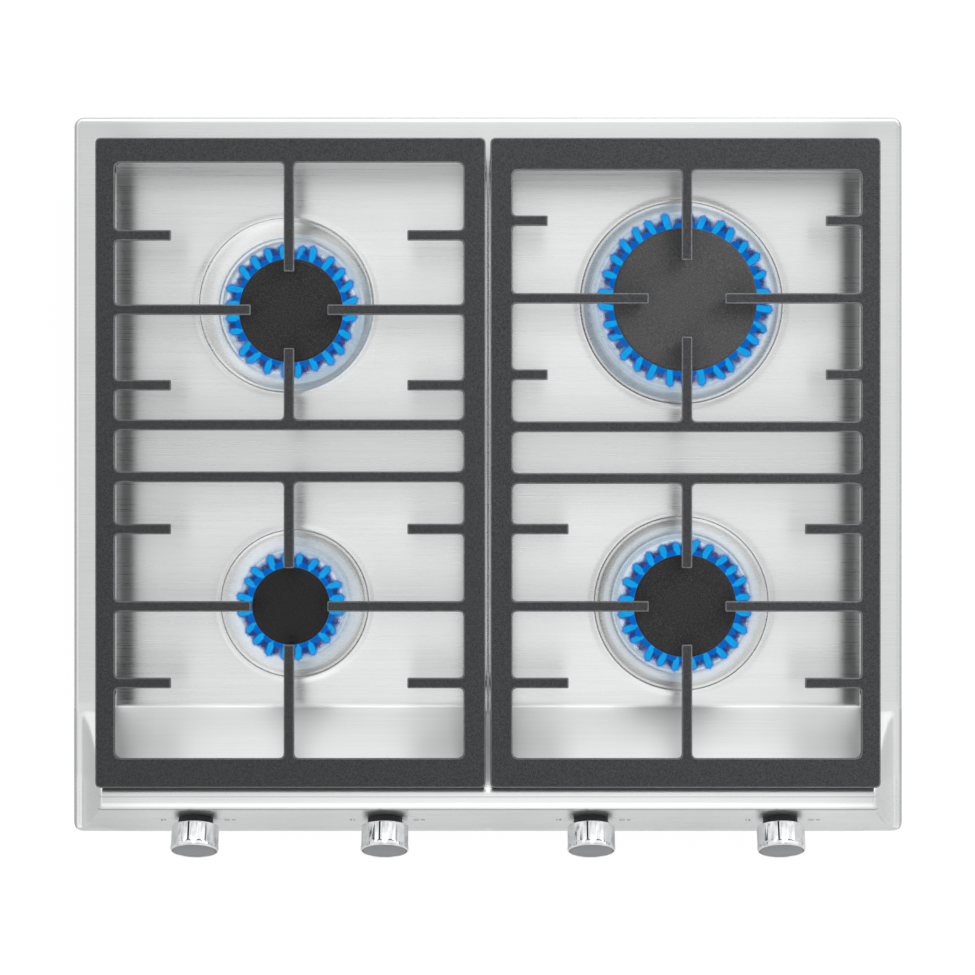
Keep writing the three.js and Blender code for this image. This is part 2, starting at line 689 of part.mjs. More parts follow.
function knobSeal(name) {
  const { radius, waist, inner, top } = KNOB_SEAL;
  const outline = [
    [inner, GAP],
    [waist, GAP],
    [waist, GAP + 1],
    [radius, top - 0.5],
    [radius, top],
    [inner, top],
    [inner, GAP],
  ];
  return piece(`knob_seal_${name}`, geometryOf(turned(outline, 16)), FINISH.rubber);
}

function valveBody(name) {
  const { radius, front, back, neck, bore, boreTop, boreEnd } = VALVE;
  const outline = [
    [0, back],
    [radius, back],
    [radius, front - 3],
    [radius - 2.5, front],
    [neck, front],
    [neck, boreTop],
    [bore, boreTop],
    [bore, boreEnd],
    [0, boreEnd],
  ];
  const low = MANIFOLD.y + MANIFOLD.radius + GAP;
  const [z0, z1] = [MANIFOLD.z - SADDLE.long / 2, MANIFOLD.z + SADDLE.long / 2];
  const saddle = box(-SADDLE.wide / 2, SADDLE.wide / 2, low, -bore - 1, z0, z1);
  const outlet = post(OUTLET.radius, OUTLET.end, back + 1, 0, 0, 6);
  const made = join(turned(outline, 12), saddle, outlet);
  return piece(`valve_body_${name}`, geometryOf(made), FINISH.brass);
}

// The turning plug inside the valve, with a D-shaped socket for the stem.
function valvePlug(name) {
  const { radius, top, bottom, socket, socketEnd } = PLUG;
  const outline = [
    [0, bottom],
    [radius, bottom],
    [radius, top],
    [socket, top],
    [socket, socketEnd],
    [0, socketEnd],
  ];
  const half = 0.8 * socket;
  const key = box(-half, half, STEM.flat + GAP, socket, socketEnd, top);
  return piece(`valve_plug_${name}`, geometryOf(turned(outline, 10).add(key)), FINISH.brass);
}

function tapGroup(name, x) {
  const group = new THREE.Group();
  group.position.set(...fromPanel(x, 0, 0));
  group.rotation.x = PANEL_TILT;
  group.add(...[knob, knobSeal, valveBody, valvePlug].map((maker) => maker(name)));
  return group;
}

// ---------- gas and spark ----------

function gasManifold() {
  const { radius, y, z, left, right, low, rear } = MANIFOLD;
  const [, railY, railZ] = fromPanel(0, y, z);
  const route = [
    [left, railY, railZ],
    [right - 130, railY, railZ],
    [right - 24, railY, railZ],
    [right - 4, railY + 16, railZ - 3],
    [right, railY + 50, low],
    [right, 0, low],
    [right, rear - 60, low],
    [right, rear - 20, low],
  ];
  const pipe = solid(tube(route, radius, 30, 8));
  const nut = rod(INLET.hex, INLET.start - 14, INLET.start - 6, right, low, 6);
  const thread = rod(INLET.radius, INLET.start - 8, rear, right, low, 16);
  const bore = rod(INLET.bore, rear - INLET.depth, rear + 1, right, low, 12);
  const made = join(pipe, nut, thread).subtract(bore);
  return piece("gas_manifold", geometryOf(made), FINISH.galvanised);
}

function gasTube(name, tapX, burner) {
  const [, startY, startZ] = fromPanel(tapX, 0, OUTLET.end - GAP);
  const [, nextY, nextZ] = fromPanel(tapX, 0, OUTLET.end - 6);
  const endY = burner.y - TUBE_END;
  const low = CUP.inletZ;
  const rear = name.startsWith("rear");
  const middle = rear ? [[tapX, -100, low], [tapX, 20, low]] : [];
  const route = [
    [tapX, startY, startZ],
    [tapX, nextY, nextZ],
    [tapX, startY + 22, (nextZ + low) / 2],
    [tapX, startY + 40, low],
    ...middle,
    [burner.x, endY - 12, low],
    [burner.x, endY, low],
  ];
  return piece(`gas_tube_${name}`, tube(route, TUBE_RADIUS, rear ? 20 : 14, 6), FINISH.aluminium);
}

function sparkGenerator() {
  const { x, y, wide, deep, high, post: radius, postHigh, posts } = SPARK_BOX;
  const bottom = -BOX.deep + BOX.sheet + SEAT;
  const shape = roundedPath(new THREE.Shape(), rectangle(-wide / 2, wide / 2, -deep / 2, deep / 2, 3));
  const case_ = bevelledSlab(shape, bottom, bottom + high, 1.2, 1.2, 1, 2);
  const terminals = Array.from({ length: posts }, (_, i) => {
    const place = (i - (posts - 1) / 2) * (wide / posts);
    return post(radius, bottom + high - 1, bottom + high + postHigh, place, deep / 4, 8);
  });
  const tabs = [-1, 1].map((side) => {
    const [x0, x1] = side < 0 ? [-wide / 2 - 9, -wide / 2 + 2] : [wide / 2 - 2, wide / 2 + 9];
    const tab = box(x0, x1, -7, 7, bottom, bottom + 3);
    return tab.subtract(post(2.2, bottom - 1, bottom + 4, side * (wide / 2 + 5), 0, 6));
  });
  const made = piece("spark_generator", geometryOf(join(case_, ...terminals, ...tabs)), FINISH.plastic);
  made.position.set(x, y, 0);
  return made;
}

// The mains lead's bush in the box's back wall.
function cableGland() {
  const { x, z, radius, flange, hole, nose } = GLAND;
  const wall = BOX.halfY;
  const outline = [
    [0, wall - BOX.sheet - 5],
    [flange - 1, wall - BOX.sheet - 5],
    [flange - 1, wall - BOX.sheet - GAP],
    [hole, wall - BOX.sheet - GAP],
    [hole, wall + GAP],
    [flange, wall + GAP],
    [flange, wall + 3],
    [radius - 1, wall + 3.5],
    [5.5, wall + nose],
    [0, wall + nose],
  ];
  const points = outline.map(([r, y]) => new THREE.Vector2(r, y));
  const gland = piece("cable_gland", new THREE.LatheGeometry(points, 12), FINISH.rubber);
  gland.position.set(x, 0, z);
  return gland;
}

// ---------- the assembly ----------

const assembly = new THREE.Group();
assembly.add(topPlate(), bottomBox(), worktopSeal(), ...clampPlaces().map(worktopClamp));
assembly.add(grate("left"), ...grateFeet("left"));
assembly.add(grate("right"), ...grateFeet("right"));
for (const [name, burner] of Object.entries(BURNERS)) {
  assembly.add(burnerGroup(name, burner));
  assembly.add(gasTube(name, TAPS[name], burner));
  assembly.add(tapGroup(name, TAPS[name]));
}
assembly.add(gasManifold(), sparkGenerator(), cableGland());

// The origin is under the middle of the whole, from the plate's back edge to the foremost knob.
const whole = new THREE.Box3().setFromObject(assembly, true);
assembly.position.set(0, -(whole.min.y + whole.max.y) / 2, BOX.deep);

const cooktop = new THREE.Group();
cooktop.add(assembly);
export default cooktop;
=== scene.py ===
"""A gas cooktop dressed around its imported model: pressed steel top, cast grates, enamelled caps,
flame crowns with their flames, and chrome knobs.

Sizes are in millimetres in the plate's own frame, where z = 0 is the worktop and x = y = 0 is the
plate's middle. Only the last step of each mesh turns them into the model's metres.
"""

import random
from math import atan2, cos, pi, radians, sin, sqrt, tan
from types import SimpleNamespace as Sizes

import bmesh
import bpy
import numpy as np
from mathutils import Matrix, Vector, geometry


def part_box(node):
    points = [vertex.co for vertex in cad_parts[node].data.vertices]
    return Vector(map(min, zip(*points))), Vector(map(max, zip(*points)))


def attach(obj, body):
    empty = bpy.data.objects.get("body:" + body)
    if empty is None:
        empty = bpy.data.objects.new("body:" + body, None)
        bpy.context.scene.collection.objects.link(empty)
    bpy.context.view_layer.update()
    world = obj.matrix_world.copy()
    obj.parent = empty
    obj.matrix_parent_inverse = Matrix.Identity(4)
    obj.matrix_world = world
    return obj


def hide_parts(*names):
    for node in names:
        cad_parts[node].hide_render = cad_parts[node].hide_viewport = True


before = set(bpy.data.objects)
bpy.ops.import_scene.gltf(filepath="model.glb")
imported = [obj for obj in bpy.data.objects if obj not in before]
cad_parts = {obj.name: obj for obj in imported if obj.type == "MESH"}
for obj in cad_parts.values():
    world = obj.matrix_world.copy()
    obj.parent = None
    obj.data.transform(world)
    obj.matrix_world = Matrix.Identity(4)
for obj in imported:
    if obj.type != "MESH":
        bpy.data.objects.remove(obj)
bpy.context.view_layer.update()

MM = 0.001
SIDES = ("left", "right")
BURNERS = ("rear_left", "front_left", "rear_right", "front_right")

# ---- driving sizes ----

HEM = 0.3  # the plate's turned-down edge ends this far above the worktop
PLATE = Sizes(half_x=295.8, half_y=255, corner=7, rim=5, edge=4, sheet=0.8)
TRAY = Sizes(inner=4.5, outer=266.4, back=228, corner=7, floor=1, wall=3)
RIDGE = 48
SLOPE = Sizes(foot=-165, head=-221.3)
PANEL_HEAD = -233.2
BEND = 7  # the radius of the ridge's two bends
WALL_PAINTED_SHADE = ((250, 1), (253, 0.92), (256, 0.7), (266.5, 0.7), (268.5, 1))  # |x|, how light the steel is: painted shade and reflection of the grates' side bars on the tray beside its walls
# painted shade: |x|, how light the steel is, a little darker towards the sides and darkest on the rolled
# outer edge
RIM_PAINTED_SHADE = ((236, 1), (270, 0.88), (292.6, 0.88), (294, 0.62), (296, 0.62))
BACK_RIM_PAINTED_SHADE = (236, 244, 1, 0.96)  # painted shade on the rear rim's steel: from y, to y, from level, to level
PAINTED_CREASE_LINES = (  # painted lines at the bends, shade where the depth is above zero and a highlight where it is below: the y where a bend begins, how dark its line is, and the heights between which it fades in
    (-225.0, 0.25, 36, 40),
    (-234.2, 0.5, 36, 40),
    (-166.1, -0.27, 4.5, 3.5),
)
CHEEK = Sizes(foot=4.3, run=21.2, power=0.62)
DISHES = {  # the outer and inner radius of the pressed dish round each burner
    "rear_left": (62, 50),
    "front_left": (52.5, 39),
    "rear_right": (72, 62),
    "front_right": (62, 50),
}
DISH = Sizes(seat=6.5, ledge=2.5, well=2.2)  # depths, and how far the well stands in from the ledge
DISH_SHIFT = {"rear_left": (-6.0, 6.0)}  # how far that dish's lip stands off its burner's axis
HOLE = {"rear_left": 26, "front_left": 22, "rear_right": 26, "front_right": 26}

GRATE = Sizes(inner=1.6, outer=272.8, back=233.8, front=-217.8, top=57, thick=12)
GRATE_CORNER = 4
BAR = Sizes(inner=15.4, outer=13.7, front=20.8, cross=7.6, finger=7.4)
BACK_BAR = {"left": 17.4, "right": 22.7}
CROSS_BARS = {"left": (34.3, -1.8), "right": (33, -2.9)}
FINGER_U = 138.2  # the fingers' place across the grate, from the plate's middle
FINGER_Y = {"left": (114.3, -91.7), "right": (122.2, -91.7)}
FINGER_REACH = 26.5  # from a burner's middle to its fingers' tips
STUBS = {  # where the stubs beside each burner stand along y, and how long they are
    ("left", "rear"): ((166, 61.9), 39),
    ("right", "rear"): ((176.1, 69.2), 24.5),
    ("left", "front"): ((-38, -144.9), 39),
    ("right", "front"): ((-38, -144.9), 39),
}
ROOT_FILLET = 3.6
TIP_ROUND = 1.1
WINDOW_CORNER = 5
LEG = Sizes(rear_y=214, front_y=-150, outer_u=271.4, inner_u=10.5, foot_r=3.8, wide=9)
FOOT_HIGH = 3.4
SEAT = 0.1  # the gap kept between pieces that rest on each other

CAP = Sizes(skirt=31, under=34.1, top=42, edge=1.8, inset=11.4)
KNOB = Sizes(radius=16.8, back=5.3, front=22.9, recess=14.6, recess_top=10.8)
KNOB_FACETS = 14
KNOB_COLLAR = 19.4  # where the facets end and the plain front ring starts
KNOB_SEAL = Sizes(waist=11.9, radius=14, inner=4.7, top=4.8)
STEM = Sizes(radius=4, end=-18)

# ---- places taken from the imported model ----

plate_low, plate_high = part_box("top_plate")
plate_middle = (plate_low + plate_high) / 2
ORIGIN = Vector((plate_middle.x, plate_middle.y, plate_high.z - RIDGE * MM))
PANEL_RUN = PLATE.half_y + PANEL_HEAD
PANEL_TILT = atan2(RIDGE, PANEL_RUN)
PANEL_MIDDLE = Vector((0, (PANEL_HEAD - PLATE.half_y) / 2, RIDGE / 2))


def to_row(x, y, z):
    return ORIGIN + Vector((x, y, z)) * MM


def middle_of(node):
    low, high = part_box(node)
    return ((low + high) / 2 - ORIGIN) / MM


def radius_of(node):
    low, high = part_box(node)
    return (high.x - low.x) / 2 / MM


CAP_PLACES = {name: middle_of(f"burner_cap_{name}") for name in BURNERS}
CAP_RADII = {name: radius_of(f"burner_cap_{name}") for name in BURNERS}
TAP_X = {name: middle_of(f"knob_seal_{name}").x for name in BURNERS}

# ---- mesh helpers ----

ON_AXIS = 1e-6  # a lathe's outline closer to its axis than this is one point
WELD = 0.02  # points closer than this become one where a piece is welded


def put_in_scene(name, data):
    holder = bpy.data.objects.new(name, data)
    bpy.context.scene.collection.objects.link(holder)
    return holder


def mesh_object(name, points, faces, material, sharp=35):
    """A smooth piece from points in the plate's millimetres; edges over sharp degrees stay hard."""
    mesh = bpy.data.meshes.new(name)
    mesh.from_pydata([to_row(*p) for p in points], [], faces)
    mesh.validate()
    mesh.polygons.foreach_set("use_smooth", [True] * len(mesh.polygons))
    mesh.set_sharp_from_angle(angle=radians(sharp))
    mesh.materials.append(material)
    return put_in_scene(name, mesh)


def reshape(piece, change):
    form = bmesh.new()
    form.from_mesh(piece.data)
    change(form)
    form.to_mesh(piece.data)
    form.free()


def face_outwards(piece):
    reshape(piece, lambda form: bmesh.ops.recalc_face_normals(form, faces=form.faces))


def weld(piece):
    reshape(piece, lambda form: bmesh.ops.remove_doubles(form, verts=form.verts, dist=WELD * MM))


def extend(points, more):
    """Adds points and returns their numbers."""
    start = len(points)
    points += more
    return list(range(start, len(points)))


def stitch(first, second):
    """The quads between two loops of the same number of points."""
    return list(zip(first, first[1:] + first[:1], second[1:] + second[:1], second))


def flipped(quads):
    return [(a, d, c, b) for a, b, c, d in quads]


def strips(rings):
    """The quads along a row of rings."""
    return [quad for first, second in zip(rings, rings[1:]) for quad in stitch(first, second)]


def closed_tube(rings):
    """The faces along a row of rings, with a cap on each end."""
    return [*flipped(strips(rings)), rings[0], rings[-1][::-1]]


def turns(count):
    """The angles of equal steps once round a circle."""
    return [2 * pi * i / count for i in range(count)]


def lathe_parts(outline, segments, place):
    """Points and faces of an outline of (radius, height) turned about the axis of place's frame."""
    points, faces, rings = [], [], []
    for r, z in outline:
        if r < ON_AXIS:
            rings.append(extend(points, [place(0, 0, z)]) * segments)
        else:
            ring = [place(r * cos(angle), r * sin(angle), z) for angle in turns(segments)]
            rings.append(extend(points, ring))
    for lower, upper in zip(rings, rings[1:]):
        for quad in stitch(lower, upper):
            face = list(dict.fromkeys(quad))
            if len(face) > 2:
                faces.append(face)
    return points, faces


def join_parts(*parts):
    points, faces = [], []
    for more_points, more_faces in parts:
        start = len(points)
        points += more_points
        faces += [[start + i for i in face] for face in more_faces]
    return points, faces


def lathe(name, outline, segments, place, material, sharp=35):
    return mesh_object(name, *lathe_parts(outline, segments, place), material, sharp)


def upright(x, y):
    """Places points of a frame that stands on the worktop at (x, y)."""
    return lambda px, py, pz: (x + px, y + py, pz)


def on_panel(x):
    """Places points of a tap's frame: +z out of the front panel, +y up it."""
    turn = Matrix.Rotation(PANEL_TILT, 3, "X")
    start = PANEL_MIDDLE + Vector((x, 0, 0))
    return lambda px, py, pz: tuple(start + turn @ Vector((px, py, pz)))


def shifted(place, x, y):
    return lambda px, py, pz: place(px + x, py + y, pz)


# ---- materials ----

WHITE = (1, 1, 1, 1)
FINE_BRUSH = (7, 1100, 1100)  # streaks to the metre along each axis
BROAD_BRUSH = (2.2, 45, 45)
SLOPE_DULLNESS = 0.22  # how much rougher the steel of the console's rear slope looks
CREASE_CORE, CREASE_EDGE = 0.2, 0.8  # a painted crease line's full and its whole half width


def feed(tree, node, inputs):
    """Fills a node's sockets, each with a value or with a link from another node's socket."""
    for socket, value in inputs.items():
        if isinstance(value, bpy.types.NodeSocket):
            tree.links.new(value, node.inputs[socket])
        else:
            node.inputs[socket].default_value = value


def add(tree, kind, inputs=None, **settings):
    node = tree.nodes.new("ShaderNode" + kind)
    for name, value in settings.items():
        setattr(node, name, value)
    feed(tree, node, inputs or {})
    return node


def maths(tree, operation, *values):
    return add(tree, "Math", dict(enumerate(values)), operation=operation).outputs[0]


def scaled_coords(tree, scale):
    coords = add(tree, "TexCoord").outputs["Object"]
    return add(tree, "Mapping", {"Vector": coords, "Scale": scale}).outputs["Vector"]


def axes(tree):
    """The coordinates X, Y and Z, in the model's metres."""
    return add(tree, "SeparateXYZ", {"Vector": scaled_coords(tree, (1, 1, 1))}).outputs


def noise(tree, scale, detail=2.0, roughness=0.5):
    """Noise with scale grains to the metre, the same all ways or one number for each axis."""
    vector = scaled_coords(tree, scale if isinstance(scale, tuple) else (scale, scale, scale))
    inputs = {"Vector": vector, "Scale": 1.0, "Detail": detail, "Roughness": roughness}
    return add(tree, "TexNoise", inputs).outputs["Fac"]


def spread(tree, value, low, high, from_low=0.3, from_high=0.7):
    inputs = {"Value": value, "From Min": from_low, "From Max": from_high, "To Min": low, "To Max": high}
    return add(tree, "MapRange", inputs).outputs["Result"]


def ramp(tree, value, stops):
    """A ramp through (place, colour) stops, where a colour may be one level of grey."""
    node = add(tree, "ValToRGB", {"Fac": value})
    elements = node.color_ramp.elements
    while len(elements) < len(stops):
        elements.new(0.5)
    for element, (place, color) in zip(elements, stops):
        element.position = place
        element.color = (*(color if isinstance(color, tuple) else (color,) * 3), 1)
    return node.outputs["Color"]


def mixed(tree, kind, share, first, second):
    inputs = {"Factor": share, "A": first, "B": second}
    return add(tree, "Mix", inputs, data_type="RGBA", blend_type=kind).outputs["Result"]


def multiplied(tree, color, *others):
    for other in others:
        color = mixed(tree, "MULTIPLY", 1.0, color, other)
    return color


def masked(tree, share, color):
    """White that turns into the colour as the share rises to one."""
    return mixed(tree, "MIX", share, WHITE, color)


def mixed_shaders(tree, share, first, second):
    return add(tree, "MixShader", {"Fac": share, 1: first, 2: second}).outputs[0]


def bump(tree, height, distance, strength=1.0):
    inputs = {"Height": height, "Distance": distance, "Strength": strength}
    return add(tree, "Bump", inputs).outputs["Normal"]


def new_material(name):
    material = bpy.data.materials.new(name)
    material.use_nodes = True
    return material, material.node_tree


def finished(material, **sockets):
    """Fills the sockets of a material's shader; a name has an underscore for each of its spaces."""
    tree = material.node_tree
    inputs = {name.replace("_", " "): value for name, value in sockets.items()}
    feed(tree, tree.nodes["Principled BSDF"], inputs)
    return material


def tones(tree, distance, steps):
    """A grey that changes with a distance, from (millimetres, level) steps."""
    start, end = steps[0][0], steps[-1][0]
    stops = [((place - start) / (end - start), level) for place, level in steps]
    return ramp(tree, spread(tree, distance, 0, 1, start * MM, end * MM), stops)


def along_y(tree, start, end, low=0, high=1):
    """Goes from low to high between two lines across the plate, given by their y in millimetres."""
    return spread(tree, axes(tree)["Y"], low, high, ORIGIN.y + start * MM, ORIGIN.y + end * MM)


def painted_crease_line(tree, y, depth, fade_start, fade_end):
    """Paints a thin line across the plate where one of the console's bends begins: painted shade where it
    darkens, painted highlight where it lightens.
    """
    place = axes(tree)
    away = maths(tree, "ABSOLUTE", maths(tree, "SUBTRACT", place["Y"], y * MM + ORIGIN.y))
    near = spread(tree, away, depth, 0, CREASE_CORE * MM, CREASE_EDGE * MM)
    high = spread(tree, place["Z"], 0, 1, ORIGIN.z + fade_start * MM, ORIGIN.z + fade_end * MM)
    return maths(tree, "SUBTRACT", 1.0, maths(tree, "MULTIPLY", near, high))


def steel_color(tree, fine):
    """The streaked grey of the sheet, with painted shade beside the tray walls, on the sides, rolled edge
    and rear rim, and painted shade and highlight lines at the bends.
    """
    sides = maths(tree, "ABSOLUTE", axes(tree)["X"])
    from_slope = along_y(tree, SLOPE.foot - 1, SLOPE.foot + 1)
    to_rim = along_y(tree, TRAY.back - 1.5, TRAY.back + 0.5, 1, 0)
    on_tray = maths(tree, "MULTIPLY", from_slope, to_rim)
    return multiplied(
        tree,
        ramp(tree, fine, [(0.25, (0.775, 0.785, 0.785)), (0.75, (0.825, 0.835, 0.835))]),
        ramp(tree, noise(tree, BROAD_BRUSH), [(0.3, 0.975), (0.7, 1.0)]),
        # painted shade and reflection of the grates' side bars, on the tray beside its side walls
        masked(tree, on_tray, tones(tree, sides, WALL_PAINTED_SHADE)),
        # painted shade, darker towards the sides and on the rolled edge
        tones(tree, sides, RIM_PAINTED_SHADE),
        # painted shade on the rear rim
        along_y(tree, *BACK_RIM_PAINTED_SHADE),
        # painted shade and painted highlight along the console's bends
        *(painted_crease_line(tree, *crease) for crease in PAINTED_CREASE_LINES),
    )


def brushed_steel():
    """Fine brushing along x: streaks in colour and gloss, and a highlight drawn out across them."""
    material, tree = new_material("brushed_steel")
    fine = noise(tree, FINE_BRUSH)
    above_foot = along_y(tree, SLOPE.foot - 6, SLOPE.foot + 4, SLOPE_DULLNESS, 0)
    below_head = along_y(tree, SLOPE.head + 2, SLOPE.head + 8)
    on_slope = maths(tree, "MULTIPLY", above_foot, below_head)
    return finished(
        material,
        Base_Color=steel_color(tree, fine),
        Metallic=1.0,
        Anisotropic=0.72,
        Roughness=maths(tree, "ADD", spread(tree, fine, 0.265, 0.305), on_slope),
        Normal=bump(tree, fine, distance=0.02 * MM, strength=0.016),
        Tangent=add(tree, "CombineXYZ", {"X": 0.0, "Y": 1.0, "Z": 0.37}).outputs["Vector"],
    )


def cast_iron(name, low, high):
    """Rough grey iron between two levels, with painted light: a little lighter towards the rear right,
    darker towards the front left.
    """
    material, tree = new_material(name)
    grain = noise(tree, 1500, detail=3, roughness=0.7)
    place = axes(tree)
    diagonal = maths(tree, "ADD", place["X"], place["Y"])
    dark, pale = (low, low * 1.02, low * 1.1), (high, high * 1.02, high * 1.08)
    # painted light, falling from the rear right
    light = ramp(tree, spread(tree, diagonal, 0, 1, -0.45, 0.45), [(0, 0.62), (1, 1)])
    return finished(
        material,
        Base_Color=multiplied(tree, ramp(tree, grain, [(0.38, dark), (0.62, pale)]), light),
        Specular_IOR_Level=0.4,
        Roughness=spread(tree, noise(tree, 1700, detail=1), 0.5, 0.75),
        Normal=bump(tree, grain, distance=0.3 * MM, strength=0.9),
    )


def enamel(name, low, high, roughness):
    """Speckled black enamel, its grains between two levels of grey."""
    material, tree = new_material(name)
    grain = noise(tree, 1000, roughness=0.7)
    sparks = noise(tree, 1600, detail=1)
    return finished(
        material,
        Base_Color=ramp(tree, grain, [(0.35, low), (0.6, (low + high) / 2), (0.7, high)]),
        Specular_IOR_Level=0.3,
        Roughness=spread(tree, sparks, roughness - 0.1, roughness + 0.12),
        Normal=bump(tree, grain, distance=0.2 * MM, strength=0.8),
    )


def mottled(name, color, shade, grain, gloss, dents, **sockets):
    """A soft mottle down to a darker shade of the colour, in its gloss and in its relief."""
    material, tree = new_material(name)
    mottle = noise(tree, *grain)
    dark = tuple(c * shade for c in color)
    return finished(
        material,
        Base_Color=ramp(tree, mottle, [(0.3, dark), (0.7, color)]),
        Roughness=spread(tree, mottle, *gloss),
        Normal=bump(tree, mottle, *dents),
        **sockets,
    )


def simple_metal(name, color, roughness, scale):
    gloss = (roughness * 0.8, roughness * 1.2)
    return mottled(name, color, 0.82, (scale, 3), gloss, (0.04 * MM, 0.3), Metallic=1.0)


def dull(name, color, roughness, scale):
    gloss = (roughness - 0.08, roughness + 0.08)
    return mottled(name, color, 0.7, (scale, 2), gloss, (0.06 * MM, 0.4))


def glow(name, color, opacity):
    """Flame: light of one colour, let through by one minus opacity."""
    material, tree = new_material(name)
    tree.nodes.clear()
    flicker = noise(tree, 220, detail=1)
    shade = ramp(tree, flicker, [(0.3, tuple(c * 0.86 for c in color)), (0.7, color)])
    light = add(tree, "Emission", {"Color": shade, "Strength": 1.0}).outputs[0]
    clear = add(tree, "BsdfTransparent").outputs[0]
    add(tree, "OutputMaterial", {"Surface": mixed_shaders(tree, opacity, clear, light)})
    return material


STEEL = brushed_steel()
IRON = cast_iron("cast_iron", 0.013, 0.066)
# painted highlight: a paler copy of the iron for the grates' rounded upper edges
IRON_EDGE_HIGHLIGHT = cast_iron("cast_iron_edge_highlight", 0.1, 0.26)
CAP_LIT_AND_SHADED_LOOKS = {  # painted light and shade, lit and shaded copies of one black enamel, lightest at the rear right and darkest at the front left: the darkest and the lightest grains' level, and the roughness
    "rear_left": (0.006, 0.045, 0.5),
    "front_left": (0.0012, 0.013, 0.5),
    "rear_right": (0.048, 0.115, 0.6),
    "front_right": (0.006, 0.045, 0.5),
}
CAP_ENAMEL = {name: enamel(f"enamel_{name}", *look) for name, look in CAP_LIT_AND_SHADED_LOOKS.items()}
ALUMINIUM = simple_metal("cast_aluminium", (0.5, 0.51, 0.52), 0.42, 300)
CUP_METAL = simple_metal("cup_aluminium", (0.86, 0.87, 0.88), 0.3, 120)
CHROME = simple_metal("chrome", (0.8, 0.81, 0.82), 0.09, 200)
FACE_METAL = simple_metal("knob_face", (0.27, 0.275, 0.285), 0.35, (150, 900, 900))
GALVANISED = simple_metal("galvanised_steel", (0.42, 0.44, 0.45), 0.4, 90)
BRASS = simple_metal("brass", (0.55, 0.4, 0.18), 0.3, 300)
PROBE_STEEL = simple_metal("probe_steel", (0.42, 0.42, 0.43), 0.4, 300)
RUBBER = dull("black_rubber", (0.02, 0.02, 0.021), 0.7, 500)
INK = dull("printed_ink", (0.3, 0.3, 0.31), 0.6, 700)
POINTER = dull("pointer_black", (0.008, 0.008, 0.009), 0.5, 700)
CERAMIC = dull("ceramic", (0.75, 0.73, 0.68), 0.35, 300)
IVORY = dull("ivory_plastic", (0.62, 0.6, 0.54), 0.5, 200)

# ---- the pressed top plate ----


def smooth_min(a, b, k):
    h = np.clip(0.5 + 0.5 * (b - a) / k, 0, 1)
    return b + (a - b) * h - k * h * (1 - h)


def smooth_max(a, b, k):
    return -smooth_min(-a, -b, k)


def rounded_depth(x, y, half_x, half_y, corner):
    """How far a point lies inside a rounded rectangle."""
    qx = np.abs(x) - (half_x - corner)
    qy = np.abs(y) - (half_y - corner)
    outside = np.hypot(np.maximum(qx, 0), np.maximum(qy, 0)) + np.minimum(np.maximum(qx, qy), 0)
    return corner - outside


def rim_height(x, y):
    edge = PLATE.edge
    depth = np.clip(rounded_depth(x, y, PLATE.half_x, PLATE.half_y, PLATE.corner), 0, edge)
    return PLATE.rim - edge + np.sqrt(np.maximum(edge**2 - (edge - depth) ** 2, 0))


def tray_height(x, y, side):
    """The tray's floor, and its wall outside that, on one side of the middle rib."""
    middle = side * (TRAY.inner + TRAY.outer) / 2
    half_x = (TRAY.outer - TRAY.inner) / 2
    low = -2 * PLATE.half_y
    half_y = (TRAY.back - low) / 2
    depth = rounded_depth(x - middle, y - (TRAY.back + low) / 2, half_x, half_y, TRAY.corner)
    rise = np.clip((-depth / TRAY.wall + 0.12) / 1.24, 0, 1)
    return TRAY.floor + (PLATE.rim - TRAY.floor) * rise * rise * (3 - 2 * rise)


def ridge_height(y):
    """The console's rear slope, its level top and its front panel, joined by two round bends."""
    rise = RIDGE - TRAY.floor
    slope_run = SLOPE.foot - SLOPE.head
    slope = TRAY.floor + (SLOPE.foot - y) * rise / slope_run
    panel = (y + PLATE.half_y) * RIDGE / PANEL_RUN
    height = np.minimum(np.minimum(slope, RIDGE), panel)
    for tilt, edge, away in ((atan2(rise, slope_run), SLOPE.head, -1), (PANEL_TILT, PANEL_HEAD, 1)):
        middle = edge + away * BEND * tan(tilt / 2)
        last = middle - away * BEND * sin(tilt)
        on_bend = (y - middle) * (y - last) <= 0
        round_height = RIDGE - BEND + np.sqrt(np.maximum(BEND**2 - (y - middle) ** 2, 0))
        height = np.where(on_bend, round_height, height)
    return height


def console_height(x, y):
    lean = (PLATE.half_x - np.abs(x) - CHEEK.foot) / CHEEK.run
    cheek = PLATE.rim + (RIDGE - PLATE.rim) * np.sign(lean) * np.abs(lean) ** (1 / CHEEK.power)
    return smooth_min(ridge_height(y), cheek, 2.5)


def plate_height(x, y):
    trays = np.minimum(tray_height(x, y, -1), tray_height(x, y, 1))
    base = np.minimum(rim_height(x, y), trays)
    return np.minimum(smooth_max(base, console_height(x, y), 1.2), RIDGE)


def grid_lines(start, *stretches):
    """Positions from start on, through stretches of (end, step)."""
    lines = [start]
    for end, step in stretches:
        count = max(1, round((end - start) / step))
        lines += [start + (end - start) * (i + 1) / count for i in range(count)]
        start = end
    return lines


PATCH_HALF = {"left": 76, "right": 81}
PATCH_ROWS = {"rear": (40, 205), "front": (-161.5, -19.5)}
PATCH_STEP = 4
BETWEEN_RINGS = (0.35, 0.7)  # how far the rings between a patch's border and its dish's lip have come


def patch_columns(side):
    x = CAP_PLACES[f"rear_{side}"].x
    return x - PATCH_HALF[side], x + PATCH_HALF[side]


